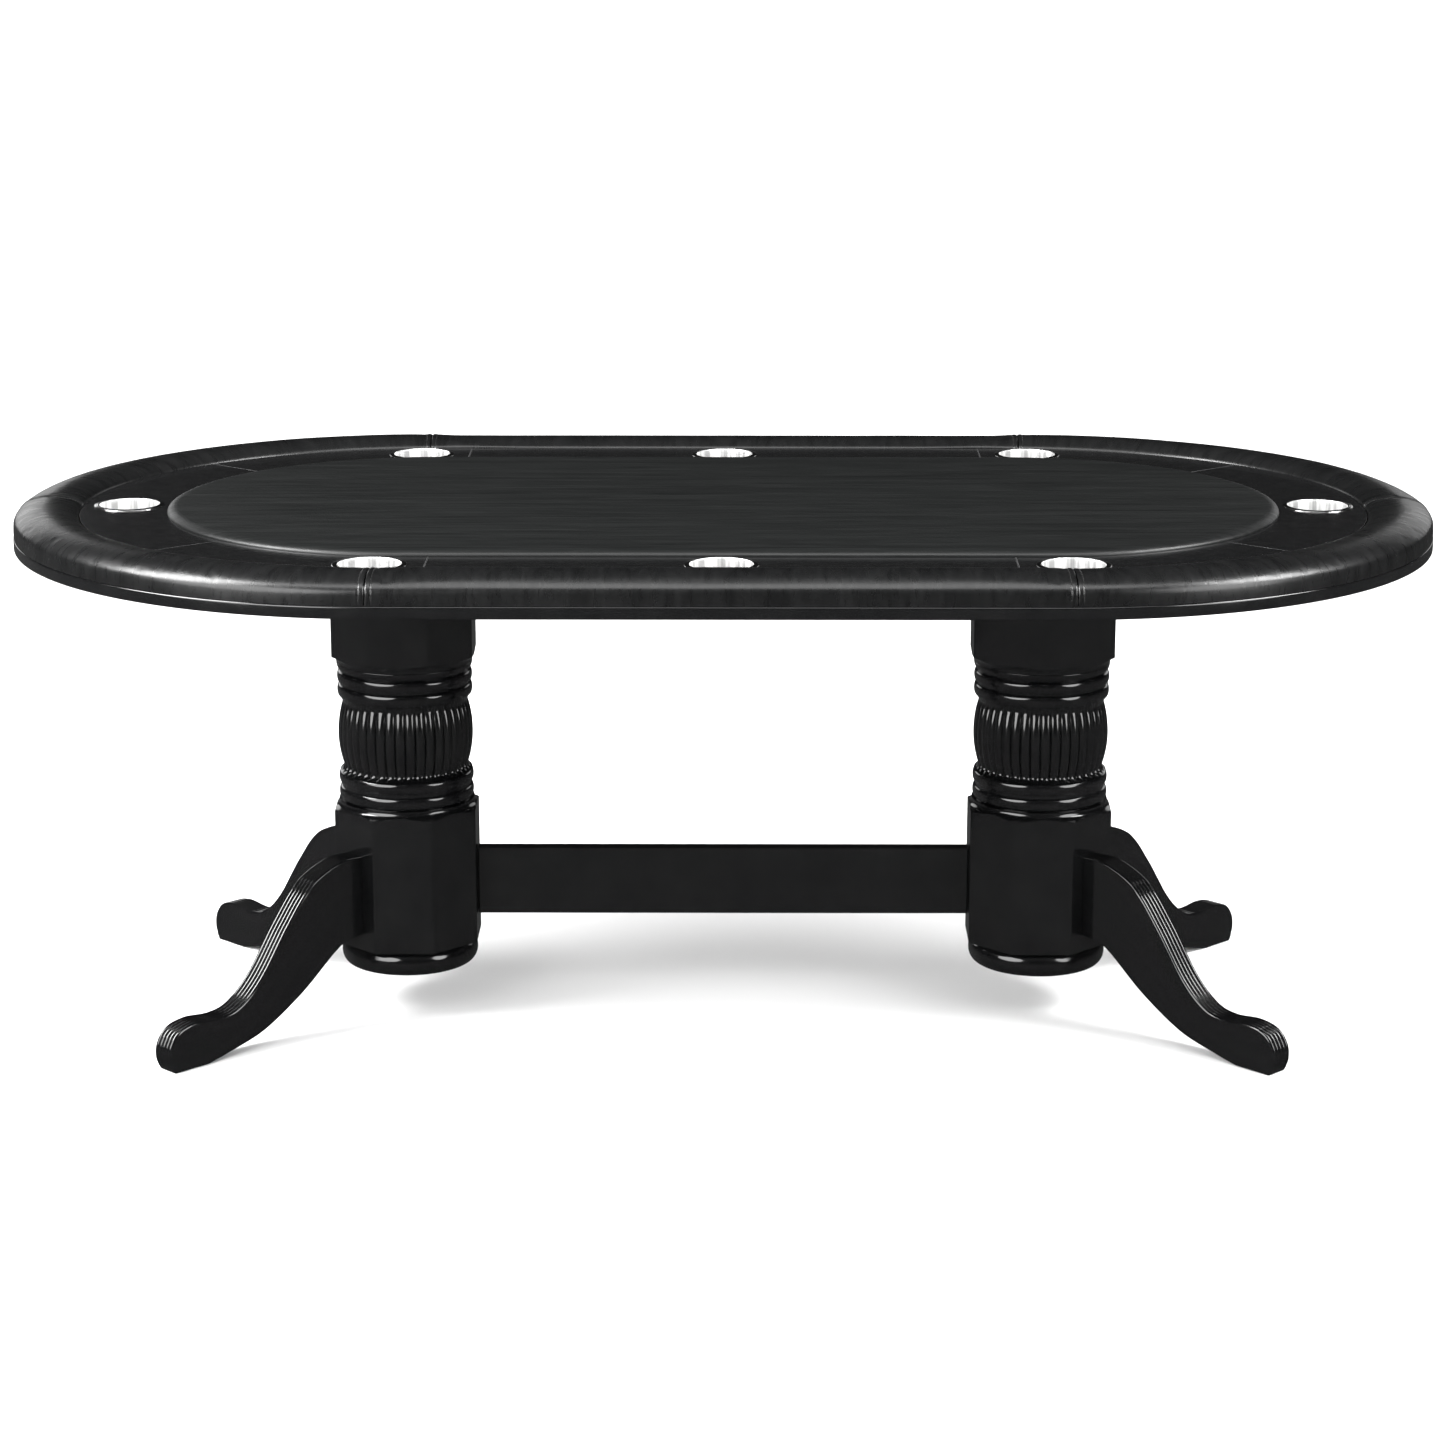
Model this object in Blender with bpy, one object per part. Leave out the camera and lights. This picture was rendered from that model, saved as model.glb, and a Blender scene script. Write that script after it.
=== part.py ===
"""Poker table: a padded stadium-shaped top on two turned pedestals with cabriole legs.

Metres, +Z up, +X along the table. The origin is on the floor under the table's centre.
The plan of the top is drawn as offsets from a straight spine along X, so that a constant
offset is a stadium: two straight sides joined by half circles.
"""

import math

import bmesh
import bpy
from mathutils import Matrix

GAP = 0.0003  # clearance between pieces that rest on each other

# Plan of the top
LENGTH = 2.134
WIDTH = 1.194
OUTER_R = WIDTH / 2
SPINE = LENGTH / 2 - OUTER_R  # half length of the straight sides
RAIL_INNER_R = 0.4996
GAP_ANGLE = math.degrees(GAP / RAIL_INNER_R)  # turn that opens one gap between corner sections
RAIL_SEAM_SHARE = 0.24  # how far along the first chord past the straight side a rail seam lies
ARC_STEPS = 14  # per quarter circle

# Levels of the top, from its underside up
RIM_BOTTOM_Z = 0.744
BASE_BOARD_T = 0.018
RIM_BAND_H = BASE_BOARD_T
RIM_BAND_T = 0.012
DECK_T = 0.0144
TRACK_T = 0.012
RAIL_CREST_Z = 0.804
BASE_TOP_Z = RIM_BOTTOM_Z + BASE_BOARD_T
DECK_TOP_Z = BASE_TOP_Z + GAP + DECK_T
TRACK_TOP_Z = DECK_TOP_Z + GAP + TRACK_T

# Padded rail: an upholstered channel over a board ring
RAIL_SKIRT = 0.0091
RAIL_CORE_T = 0.0177
RAIL_CREST_R = 0.545
RAIL_INNER_SHOULDER_Z = 0.787
RAIL_OUTER_SHOULDER_Z = 0.780

# Playing surface
PLAY_R = 0.386
PLAY_SPINE = 0.452
PLAY_TOP_Z = 0.7985
PLAY_BOARD_T = 0.009
PLAY_SKIRT = 0.0057
PLAY_EDGE_R = 0.0085
TRACK_SEAM_X = 0.4153
TRACK_SEAM_GAP = 0.0006

# Cup holders
CUP_SIDE_X = 0.493
CUP_SIDE_Y = 0.443
CUP_END_X = 0.900
CUP_INNER_R = 0.045
CUP_WALL = 0.0012
CUP_FLANGE_R = 0.053
CUP_DEPTH = 0.058
CUP_LIP_H = 0.0018
CUP_HOLE_R = 0.0475
CUP_STEPS = 16
CUP_FOOT_R = 0.003
CUP_FLOOR_R = 0.002
CUP_FLANGE_SLOPE = 0.0015

# Pedestals
PEDESTAL_X = 0.488
UPPER_BLOCK_FLATS = 0.2145
LOWER_BLOCK_FLATS = 0.216
BASE_DISC_Z = (0.071, 0.110)
LOWER_BLOCK_Z = (0.1103, 0.3340)
COLUMN_Z = (0.3343, 0.5497)
UPPER_BLOCK_Z = (0.5500, 0.7187)
TOP_PLATE_Z = (0.7190, 0.7437)
TOP_PLATE_SIDE = 0.320
BASE_DISC_R = 0.1055
BASE_DISC_EDGE_R = 0.018
DISC_STEPS = 28
TIE_ROD_R = 0.006
TIE_BORE_R = 0.0064
TIE_NUT_R = 0.0105
TIE_NUT_H = 0.010
TIE_RECESS_R = 0.016
TIE_RECESS_H = 0.014
TIE_BORE_LOW_Z = 0.060  # the bore's cutter starts below the base disc
TIE_BORE_TOP_COVER = 0.004  # board left over the bore in the top plate
TIE_ROD_TOP_COVER = 0.006
TIE_BORE_STEPS = 16
FLUTES = 40
FLUTE_DEPTH = 0.0030
BARREL_R = 0.1034
BEAD_R = 0.1034
BARREL_NECK_R = 0.0957
BARREL_Z = (0.3895, 0.4880)
BARREL_RING_SHARES = (0.94, 0.70, 0.36, 0.06)
BARREL_FOOT_NECK = 0.004
COLUMN_TOP_R = 0.1040
COLUMN_GROOVE = (0.1005, 0.5385)  # radius, height
COLUMN_FOOT_R = 0.0990
BEAD_ROOT_R = 0.0985
TOP_BEADS = ((0.5275, 0.0095), (0.5065, 0.0100))  # middle height, half height
FOOT_BEADS = ((0.3695, 0.0095), (0.3455, 0.0100))
EDGE_ROUND = 0.002
CUTTER_REACH = 0.010  # how far a cutter passes beyond the faces it opens
FINE_EDGE = 0.001
BAND_EDGE = 0.0015

# Stretcher and under-top battens
STRETCHER_Z = (0.147, 0.2535)
STRETCHER_T = 0.022
BATTEN_Y = 0.300
BATTEN_SIZE = (1.600, 0.040, 0.0247)

# Legs, as (distance from the pedestal's axis, height) along the board's edge
LEG_T = 0.038
SOLE_Z = 0.001
ROOT_R = LOWER_BLOCK_FLATS / 2 + GAP
LEG_TOP = (
    (ROOT_R, 0.2600), (0.151, 0.2590), (0.208, 0.2330), (0.255, 0.1800), (0.306, 0.1110),
    (0.346, 0.0770), (0.381, 0.0680), (0.425, 0.0710), (0.458, 0.0640), (0.476, 0.0440),
    (0.479, 0.0200), (0.470, SOLE_Z),
)
LEG_UNDER = (
    (0.408, SOLE_Z), (0.369, 0.0100), (0.302, 0.0290), (0.228, 0.0710), (0.167, 0.1180),
    (0.141, 0.1320), (ROOT_R, 0.1370),
)
CURVE_STEPS = 3
LEG_ANGLES = {"front_left": -135, "back_left": 135, "front_right": -45, "back_right": 45}
LEG_BOLT_Z = 0.205
LEG_BOLT_R = 0.004
LEG_BOLT_SPAN = (0.070, 0.158)
BOLT_END_CLEAR = 0.002

# Levelling glides, screwed up into the soles
GLIDE_RADIAL = 0.440
GLIDE_R = 0.013
GLIDE_PAD_H = 0.005
GLIDE_STEM_R = 0.004
GLIDE_STEM_TOP = 0.038
GLIDE_CLEAR = 0.0005
GLIDE_END_CLEAR = 0.004


def clear_scene():
    for obj in list(bpy.data.objects):
        bpy.data.objects.remove(obj)


def make_material(name, colour, roughness, metallic=0.0):
    material = bpy.data.materials.new(name)
    material.use_nodes = True
    shader = material.node_tree.nodes["Principled BSDF"]
    shader.inputs["Base Color"].default_value = (*colour, 1.0)
    shader.inputs["Roughness"].default_value = roughness
    shader.inputs["Metallic"].default_value = metallic
    material.diffuse_color = (*colour, 1.0)
    return material


def make_materials():
    return {
        "lacquer": make_material("black_lacquer", (0.010, 0.010, 0.011), 0.18),
        "track": make_material("track_laminate", (0.008, 0.008, 0.009), 0.12),
        "rail_vinyl": make_material("rail_vinyl", (0.014, 0.014, 0.015), 0.42),
        "play_vinyl": make_material("play_vinyl", (0.013, 0.015, 0.014), 0.38),
        "board": make_material("raw_board", (0.36, 0.26, 0.17), 0.75),
        "cup": make_material("cup_steel", (0.72, 0.72, 0.71), 0.28, 1.0),
        "hardware": make_material("zinc_hardware", (0.55, 0.55, 0.54), 0.40, 1.0),
        "nylon": make_material("glide_nylon", (0.03, 0.03, 0.03), 0.55),
    }


def add_object(name, bm, material=None):
    bmesh.ops.recalc_face_normals(bm, faces=bm.faces)
    mesh = bpy.data.meshes.new(name)
    bm.to_mesh(mesh)
    bm.free()
    mesh.shade_smooth()
    mesh.set_sharp_from_angle(angle=math.radians(32))
    if material:
        mesh.materials.append(material)
    obj = bpy.data.objects.new(name, mesh)
    bpy.context.scene.collection.objects.link(obj)
    return obj


def add_cutter(name, bm):
    cutter = add_object(name, bm)
    cutter.hide_render = True
    cutter.display_type = "WIRE"
    return cutter


def cut(obj, cutter):
    modifier = obj.modifiers.new(cutter.name, "BOOLEAN")
    modifier.operation = "DIFFERENCE"
    modifier.solver = "EXACT"
    modifier.object = cutter


def round_edges(obj, width=EDGE_ROUND, segments=2):
    bevel = obj.modifiers.new("edges", "BEVEL")
    bevel.width = width
    bevel.segments = segments
    bevel.limit_method = "ANGLE"
    bevel.angle_limit = math.radians(30)


def bridge(bm, first, second):
    """Quads between two closed rings of the same count."""
    count = len(first)
    for i in range(count):
        j = (i + 1) % count
        bm.faces.new((first[i], first[j], second[j], second[i]))


def arc(centre, radius, start, end, steps):
    """Points from start to end, in degrees, both included."""
    angles = [math.radians(start + (end - start) * i / steps) for i in range(steps + 1)]
    return [(centre[0] + radius * math.cos(a), centre[1] + radius * math.sin(a)) for a in angles]


def stadium(spine, radius):
    """Anticlockwise outline at a constant offset from the spine."""
    right = arc((spine, 0), radius, -90, 90, 2 * ARC_STEPS)
    left = arc((-spine, 0), radius, 90, 270, 2 * ARC_STEPS)
    return right + left


def stacked(outlines):
    """A solid through closed outlines, each (points, z), capped at the first and the last."""
    bm = bmesh.new()
    rings = [[bm.verts.new((x, y, z)) for x, y in points] for points, z in outlines]
    for lower, upper in zip(rings, rings[1:]):
        bridge(bm, lower, upper)
    bm.faces.new(list(reversed(rings[0])))
    bm.faces.new(rings[-1])
    return bm


def prism(points, bottom, top):
    return stacked([(points, bottom), (points, top)])


def swept(section, frames, closed=False):
    """A section of (offset, z) points carried along frames of (spine point x, normal x, normal y)."""
    bm = bmesh.new()
    rings = [[bm.verts.new((x + nx * u, ny * u, z)) for u, z in section] for x, nx, ny in frames]
    for first, second in zip(rings, rings[1:]):
        bridge(bm, first, second)
    if closed:
        bridge(bm, rings[-1], rings[0])
    else:
        bm.faces.new(rings[0])
        bm.faces.new(list(reversed(rings[-1])))
    return bm


def quarter_frames(side, start, end, steps):
    """Frames round the half circle at one end of the top; side is +1 or -1."""
    angles = [math.radians(start + (end - start) * i / steps) for i in range(steps + 1)]
    return [(side * SPINE, math.cos(a), math.sin(a)) for a in angles]


def straight_frames(facing):
    """Frames along the front (-1) or back (+1), a gap short at each end."""
    reach = SPINE - GAP
    return [(-reach, 0, facing), (reach, 0, facing)]


def seam_frame(side, facing, share):
    """Frame at a share of the first chord past the straight side."""
    step = math.radians(90 / ARC_STEPS)
    return (side * SPINE, side * share * math.sin(step), facing * (1 - share + share * math.cos(step)))


def wrapped_frames(facing):
    """Frames along the front (-1) or back (+1) and a little way round both ends."""
    left = seam_frame(-1, facing, RAIL_SEAM_SHARE)
    right = seam_frame(1, facing, RAIL_SEAM_SHARE)
    return [left, (-SPINE, 0, facing), (SPINE, 0, facing), right]


def corner_frames(side, facing):
    """Frames of a corner section, from the seam on the straight side to the end's middle."""
    gap_share = GAP * ARC_STEPS / (math.pi / 2 * RAIL_INNER_R)
    middle = -GAP_ANGLE if facing < 0 else 0
    frames = [(side * SPINE, side * x, y) for _, x, y in quarter_frames(1, facing * 90, middle, ARC_STEPS)]
    frames[0] = seam_frame(side, facing, RAIL_SEAM_SHARE + gap_share)
    return frames


def turned(profile, steps, closed=False):
    """A solid of revolution about Z. A profile point at radius 0 becomes a single vertex."""
    bm = bmesh.new()
    rings = []
    for radius, z in profile:
        if radius == 0:
            rings.append([bm.verts.new((0, 0, z))])
            continue
        points = arc((0, 0), radius, 0, 360 - 360 / steps, steps - 1)
        rings.append([bm.verts.new((x, y, z)) for x, y in points])
    pairs = list(zip(rings, rings[1:]))
    if closed:
        pairs.append((rings[-1], rings[0]))
    for first, second in pairs:
        if len(first) == len(second):
            bridge(bm, first, second)
            continue
        tip, ring = (first[0], second) if len(first) == 1 else (second[0], first)
        for i, vertex in enumerate(ring):
            bm.faces.new((tip, vertex, ring[(i + 1) % len(ring)]))
    return bm


def cylinder(radius, bottom, top, steps=12):
    return turned([(0, bottom), (radius, bottom), (radius, top), (0, top)], steps)


def octagon(flats):
    """Corners of an octagon with flats facing X, Y and the diagonals."""
    return arc((0, 0), flats / 2 / math.cos(math.pi / 8), 22.5, 337.5, 7)


def smooth_curve(points):
    """Catmull-Rom curve through the points, without its last one."""
    padded = [points[0], *points, points[-1]]
    curve = []
    for p0, p1, p2, p3 in zip(padded, padded[1:], padded[2:], padded[3:]):
        for step in range(CURVE_STEPS):
            t = step / CURVE_STEPS
            curve.append(tuple(
                0.5 * (2 * b + (c - a) * t + (2 * a - 5 * b + 4 * c - d) * t**2
                       + (3 * b - a - 3 * c + d) * t**3)
                for a, b, c, d in zip(p0, p1, p2, p3)
            ))
    return curve


def cup_places():
    """Cup holder names and centres, anticlockwise from the front left."""
    return {
        "front_left": (-CUP_SIDE_X, -CUP_SIDE_Y),
        "front_middle": (0.0, -CUP_SIDE_Y),
        "front_right": (CUP_SIDE_X, -CUP_SIDE_Y),
        "right_end": (CUP_END_X, 0.0),
        "back_right": (CUP_SIDE_X, CUP_SIDE_Y),
        "back_middle": (0.0, CUP_SIDE_Y),
        "back_left": (-CUP_SIDE_X, CUP_SIDE_Y),
        "left_end": (-CUP_END_X, 0.0),
    }


def make_cup_hole_cutter():
    """All eight round holes, as one cutter that passes through every board."""
    holes = bmesh.new()
    for x, y in cup_places().values():
        hole = cylinder(CUP_HOLE_R, RIM_BOTTOM_Z - CUTTER_REACH, TRACK_TOP_Z + CUTTER_REACH, CUP_STEPS)
        hole.transform(Matrix.Translation((x, y, 0)))
        piece = bpy.data.meshes.new("hole")
        hole.to_mesh(piece)
        hole.free()
        holes.from_mesh(piece)
        bpy.data.meshes.remove(piece)
    return add_cutter("cup_holes_cutter", holes)


def make_base_board(materials, holes):
    outline = stadium(SPINE, OUTER_R - RIM_BAND_T - GAP)
    board = add_object("base_board", prism(outline, RIM_BOTTOM_Z, BASE_TOP_Z), materials["board"])
    cut(board, holes)


def make_deck_board(materials, holes):
    outline = stadium(SPINE, RAIL_INNER_R - 2 * GAP)
    deck = prism(outline, BASE_TOP_Z + GAP, DECK_TOP_Z)
    cut(add_object("racetrack_deck", deck, materials["board"]), holes)


def make_rim_bands(materials):
    """Four wooden edge bands round the base board, with eased outer corners."""
    ease = BAND_EDGE
    inner, outer = OUTER_R - RIM_BAND_T, OUTER_R
    top = RIM_BOTTOM_Z + RIM_BAND_H
    section = [
        (inner, RIM_BOTTOM_Z), (outer - ease, RIM_BOTTOM_Z), (outer, RIM_BOTTOM_Z + ease),
        (outer, top - ease), (outer - ease, top), (inner, top),
    ]
    runs = {
        "rim_band_front": straight_frames(-1),
        "rim_band_back": straight_frames(1),
        "rim_band_right_end": quarter_frames(1, -90, 90, 2 * ARC_STEPS),
        "rim_band_left_end": quarter_frames(-1, 90, 270, 2 * ARC_STEPS),
    }
    for name, frames in runs.items():
        add_object(name, swept(section, frames), materials["lacquer"])


def rail_section():
    """Closed cross-section of the padded rail: a domed top and two skirts over the core ring."""
    skirt_z = RIM_BOTTOM_Z + RIM_BAND_H + GAP
    core_top = BASE_TOP_Z + GAP + RAIL_CORE_T + GAP
    inner_reach = RAIL_CREST_R - RAIL_INNER_R
    outer_reach = OUTER_R - RAIL_CREST_R
    section = [(RAIL_INNER_R, skirt_z)]
    for degrees in (180, 150, 120, 90):
        a = math.radians(degrees)
        rise = RAIL_CREST_Z - RAIL_INNER_SHOULDER_Z
        section.append((
            RAIL_CREST_R + inner_reach * math.cos(a),
            RAIL_INNER_SHOULDER_Z + rise * math.sin(a),
        ))
    for degrees in (60, 30, 0):
        a = math.radians(degrees)
        rise = RAIL_CREST_Z - RAIL_OUTER_SHOULDER_Z
        section.append((
            RAIL_CREST_R + outer_reach * math.cos(a),
            RAIL_OUTER_SHOULDER_Z + rise * math.sin(a),
        ))
    section.append((OUTER_R, skirt_z))
    section.append((OUTER_R - RAIL_SKIRT, skirt_z))
    section.append((OUTER_R - RAIL_SKIRT, core_top))
    section.append((RAIL_INNER_R + RAIL_SKIRT, core_top))
    section.append((RAIL_INNER_R + RAIL_SKIRT, skirt_z))
    return section


def make_rail(materials):
    """Six upholstered sections over one board ring."""
    inner = RAIL_INNER_R + RAIL_SKIRT + GAP
    outer = OUTER_R - RAIL_SKIRT - GAP
    bottom = BASE_TOP_Z + GAP
    ring = [(inner, bottom), (outer, bottom), (outer, bottom + RAIL_CORE_T), (inner, bottom + RAIL_CORE_T)]
    frames = quarter_frames(1, -90, 90, 2 * ARC_STEPS) + quarter_frames(-1, 90, 270, 2 * ARC_STEPS)
    add_object("rail_core_ring", swept(ring, frames, closed=True), materials["board"])
    runs = {
        "rail_pad_front": wrapped_frames(-1),
        "rail_pad_back": wrapped_frames(1),
        "rail_pad_front_right": corner_frames(1, -1),
        "rail_pad_back_right": corner_frames(1, 1),
        "rail_pad_back_left": corner_frames(-1, 1),
        "rail_pad_front_left": corner_frames(-1, -1),
    }
    for name, frames in runs.items():
        add_object(name, swept(rail_section(), frames), materials["rail_vinyl"])


def track_outline(side, start, end):
    """Outline of a panel round one end, from start to end degrees."""
    steps = round(abs(end - start) / 90 * ARC_STEPS)
    outer_r = RAIL_INNER_R - 2 * GAP
    inner_r = PLAY_R + 2 * GAP
    half_gap = math.degrees(TRACK_SEAM_GAP / 2 / inner_r)
    first, last = start + half_gap, end - half_gap
    outer = arc((side * SPINE, 0), outer_r, first, last, steps)
    inner = arc((side * PLAY_SPINE, 0), inner_r, last, first, steps)
    return outer, inner


def make_racetrack(materials, holes):
    """Eight panels between the rail and the playing surface, each with one cup hole."""
    outer_y = RAIL_INNER_R - 2 * GAP
    inner_y = PLAY_R + 2 * GAP
    seam = TRACK_SEAM_X - TRACK_SEAM_GAP / 2
    far_seam = TRACK_SEAM_X + TRACK_SEAM_GAP / 2
    panels = {}
    for name, y_sign in (("front", -1), ("back", 1)):
        low, high = sorted((y_sign * inner_y, y_sign * outer_y))
        panels[name] = [(-seam, low), (seam, low), (seam, high), (-seam, high)]
    for name, side, middle in (("right_end", 1, 0), ("left_end", -1, 180)):
        outer, inner = track_outline(side, middle - 45, middle + 45)
        panels[name] = outer + inner
    corners = {
        "back_right": (1, 45, 90), "back_left": (-1, 90, 135),
        "front_left": (-1, 225, 270), "front_right": (1, 270, 315),
    }
    for name, (side, start, end) in corners.items():
        outer, inner = track_outline(side, start, end)
        y_sign = 1 if start < 180 else -1
        ends = [(side * far_seam, y_sign * outer_y), (side * far_seam, y_sign * inner_y)]
        if (start, end) in ((45, 90), (225, 270)):
            panels[name] = outer[:-1] + [(side * SPINE, y_sign * outer_y)] + ends
            panels[name] += [(side * PLAY_SPINE, y_sign * inner_y)] + inner[1:]
        else:
            panels[name] = [(side * SPINE, y_sign * outer_y)] + outer[1:] + inner[:-1]
            panels[name] += [(side * PLAY_SPINE, y_sign * inner_y)] + ends[::-1]
    for name, outline in panels.items():
        board = prism(outline, DECK_TOP_Z + GAP, TRACK_TOP_Z)
        cut(add_object(f"racetrack_{name}", board, materials["track"]), holes)


def make_playing_surface(materials):
    """A thin board under a padded cover whose skirt wraps the board's edge."""
    bottom = DECK_TOP_Z + GAP
    board_r = PLAY_R - PLAY_SKIRT - GAP
    board = prism(stadium(PLAY_SPINE, board_r), bottom, bottom + PLAY_BOARD_T)
    add_object("playing_board", board, materials["board"])
    cavity_r = PLAY_R - PLAY_SKIRT
    loops = [(cavity_r, bottom + PLAY_BOARD_T + GAP), (cavity_r, bottom), (PLAY_R, bottom)]
    for degrees in (0, 30, 60, 90):
        a = math.radians(degrees)
        loops.append((
            PLAY_R - PLAY_EDGE_R * (1 - math.cos(a)),
            PLAY_TOP_Z - PLAY_EDGE_R * (1 - math.sin(a)),
        ))
    pad = stacked([(stadium(PLAY_SPINE, radius), z) for radius, z in loops])
    add_object("playing_surface", pad, materials["play_vinyl"])


def cup_profile():
    """Inside and outside of a spun cup with a flat flange and a rolled rim."""
    seat = TRACK_TOP_Z + GAP
    top = seat + CUP_LIP_H
    outer_r = CUP_INNER_R + CUP_WALL
    bottom = seat - CUP_DEPTH
    return [
        (0, bottom), (outer_r - CUP_FOOT_R, bottom), (outer_r, bottom + CUP_FOOT_R), (outer_r, seat),
        (CUP_FLANGE_R, seat), (CUP_FLANGE_R - CUP_FLANGE_SLOPE, top), (CUP_INNER_R, top),
        (CUP_INNER_R, bottom + CUP_WALL + CUP_FLOOR_R),
        (CUP_INNER_R - CUP_FLOOR_R, bottom + CUP_WALL),
        (0, bottom + CUP_WALL),
    ]


def make_cup_holders(materials):
    for name, (x, y) in cup_places().items():
        cup = add_object(f"cup_holder_{name}", turned(cup_profile(), CUP_STEPS), materials["cup"])
        cup.location = (x, y, 0)


def bead(centre_z, half_height):
    """Rings over one half-round bead, top to bottom."""
    points = []
    for degrees in (55, 0, -55):
        a = math.radians(degrees)
        radius = BEAD_ROOT_R + (BEAD_R - BEAD_ROOT_R) * math.cos(a)
        points.append((radius, 0, centre_z + half_height * math.sin(a)))
    return points


def barrel_radius(z):
    """The barrel swells in a parabola from its necks to its belly."""
    low, high = BARREL_Z
    from_middle = (2 * z - low - high) / (high - low)
    return BARREL_R - (BARREL_R - BARREL_NECK_R) * from_middle**2


def column_rings():
    """Rings of the turned column from its top to its bottom: (radius, groove depth, z)."""
    low, high = BARREL_Z
    groove_r, groove_z = COLUMN_GROOVE
    rings = [(TIE_BORE_R, 0, COLUMN_Z[1]), (COLUMN_TOP_R, 0, COLUMN_Z[1]), (groove_r, 0, groove_z)]
    rings += bead(*TOP_BEADS[0]) + bead(*TOP_BEADS[1])
    rings.append((BARREL_NECK_R, 0, high))
    for share in BARREL_RING_SHARES:
        z = low + (high - low) * share
        rings.append((barrel_radius(z), FLUTE_DEPTH * min(1, 4 * share, 4 * (1 - share)), z))
    rings.append((BARREL_NECK_R, 0, low - BARREL_FOOT_NECK))
    rings += bead(*FOOT_BEADS[0]) + bead(*FOOT_BEADS[1])
    rings += [(COLUMN_FOOT_R, 0, COLUMN_Z[0]), (TIE_BORE_R, 0, COLUMN_Z[0])]
    return rings


def make_column(name, x, material):
    """A turned column with a bore for the tie rod and a fluted barrel."""
    bm = bmesh.new()
    rings = []
    for radius, depth, z in column_rings():
        count = 2 * FLUTES if depth else FLUTES
        ring = []
        for i in range(count):
            angle = 2 * math.pi * i / count
            reach = radius - (depth if i % 2 else 0)
            ring.append(bm.verts.new((reach * math.cos(angle), reach * math.sin(angle), z)))
        rings.append(ring)
    for first, second in zip(rings, rings[1:] + rings[:1]):
        if len(first) == len(second):
            bridge(bm, first, second)
            continue
        coarse, fine = sorted((first, second), key=len)
        for i in range(FLUTES):
            j = (i + 1) % FLUTES
            middle = fine[2 * i + 1]
            bm.faces.new((coarse[i], fine[2 * i], middle))
            bm.faces.new((coarse[i], middle, coarse[j]))
            bm.faces.new((coarse[j], middle, fine[2 * j]))
    column = add_object(name, bm, material)
    column.location.x = x
    return column


def make_octagon_block(name, x, flats, levels, material):
    block = add_object(name, prism(octagon(flats), *levels), material)
    block.location.x = x
    round_edges(block)
    return block


def make_pedestals(materials):
    """For each side: top plate, upper block, column, lower block, base disc and tie rod."""
    for name, x in (("left", -PEDESTAL_X), ("right", PEDESTAL_X)):
        bore = add_cutter(f"tie_bore_{name}_cutter", cylinder(
            TIE_BORE_R, TIE_BORE_LOW_Z, TOP_PLATE_Z[1] - TIE_BORE_TOP_COVER, TIE_BORE_STEPS
        ))
        bore.location.x = x
        half = TOP_PLATE_SIDE / 2
        square = [(-half, -half), (half, -half), (half, half), (-half, half)]
        plate = add_object(f"top_plate_{name}", prism(square, *TOP_PLATE_Z), materials["lacquer"])
        plate.location.x = x
        cut(plate, bore)
        upper = make_octagon_block(
            f"upper_block_{name}", x, UPPER_BLOCK_FLATS, UPPER_BLOCK_Z, materials["lacquer"]
        )
        cut(upper, bore)
        make_column(f"turned_column_{name}", x, materials["lacquer"])
        lower = make_octagon_block(
            f"lower_block_{name}", x, LOWER_BLOCK_FLATS, LOWER_BLOCK_Z, materials["lacquer"]
        )
        cut(lower, bore)
        for corner, angle in LEG_ANGLES.items():
            if name in corner:
                cut(lower, leg_bolt_bore(f"block_{corner}", x, angle))
        make_base_disc(name, x, materials["lacquer"])
        make_tie_rod(name, x, materials["hardware"])


def make_base_disc(name, x, material):
    """A round foot with a full lower edge and a counterbore for the tie rod's nut."""
    low, high = BASE_DISC_Z
    profile = [(TIE_BORE_R, high), (BASE_DISC_R - EDGE_ROUND, high), (BASE_DISC_R, high - EDGE_ROUND)]
    for degrees in (0, -45, -90):
        a = math.radians(degrees)
        profile.append((
            BASE_DISC_R - BASE_DISC_EDGE_R * (1 - math.cos(a)),
            low + BASE_DISC_EDGE_R * (1 + math.sin(a)),
        ))
    profile += [(TIE_RECESS_R, low), (TIE_RECESS_R, low + TIE_RECESS_H), (TIE_BORE_R, low + TIE_RECESS_H)]
    disc = add_object(f"base_disc_{name}", turned(profile, DISC_STEPS, closed=True), material)
    disc.location.x = x


def make_tie_rod(name, x, material):
    """Threaded rod through the whole pedestal, with its nut in the base disc."""
    nut_top = BASE_DISC_Z[0] + TIE_RECESS_H - GAP
    nut_bottom = nut_top - TIE_NUT_H
    profile = [
        (0, nut_bottom), (TIE_NUT_R - FINE_EDGE, nut_bottom), (TIE_NUT_R, nut_bottom + FINE_EDGE),
        (TIE_NUT_R, nut_top), (TIE_ROD_R, nut_top), (TIE_ROD_R, TOP_PLATE_Z[1] - TIE_ROD_TOP_COVER),
        (0, TOP_PLATE_Z[1] - TIE_ROD_TOP_COVER),
    ]
    rod = add_object(f"tie_rod_{name}", turned(profile, 12), material)
    rod.location.x = x


def make_stretcher(materials):
    reach = PEDESTAL_X - LOWER_BLOCK_FLATS / 2 - GAP
    half = STRETCHER_T / 2
    outline = [(-reach, -half), (reach, -half), (reach, half), (-reach, half)]
    board = add_object("stretcher", prism(outline, *STRETCHER_Z), materials["lacquer"])
    round_edges(board)


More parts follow.
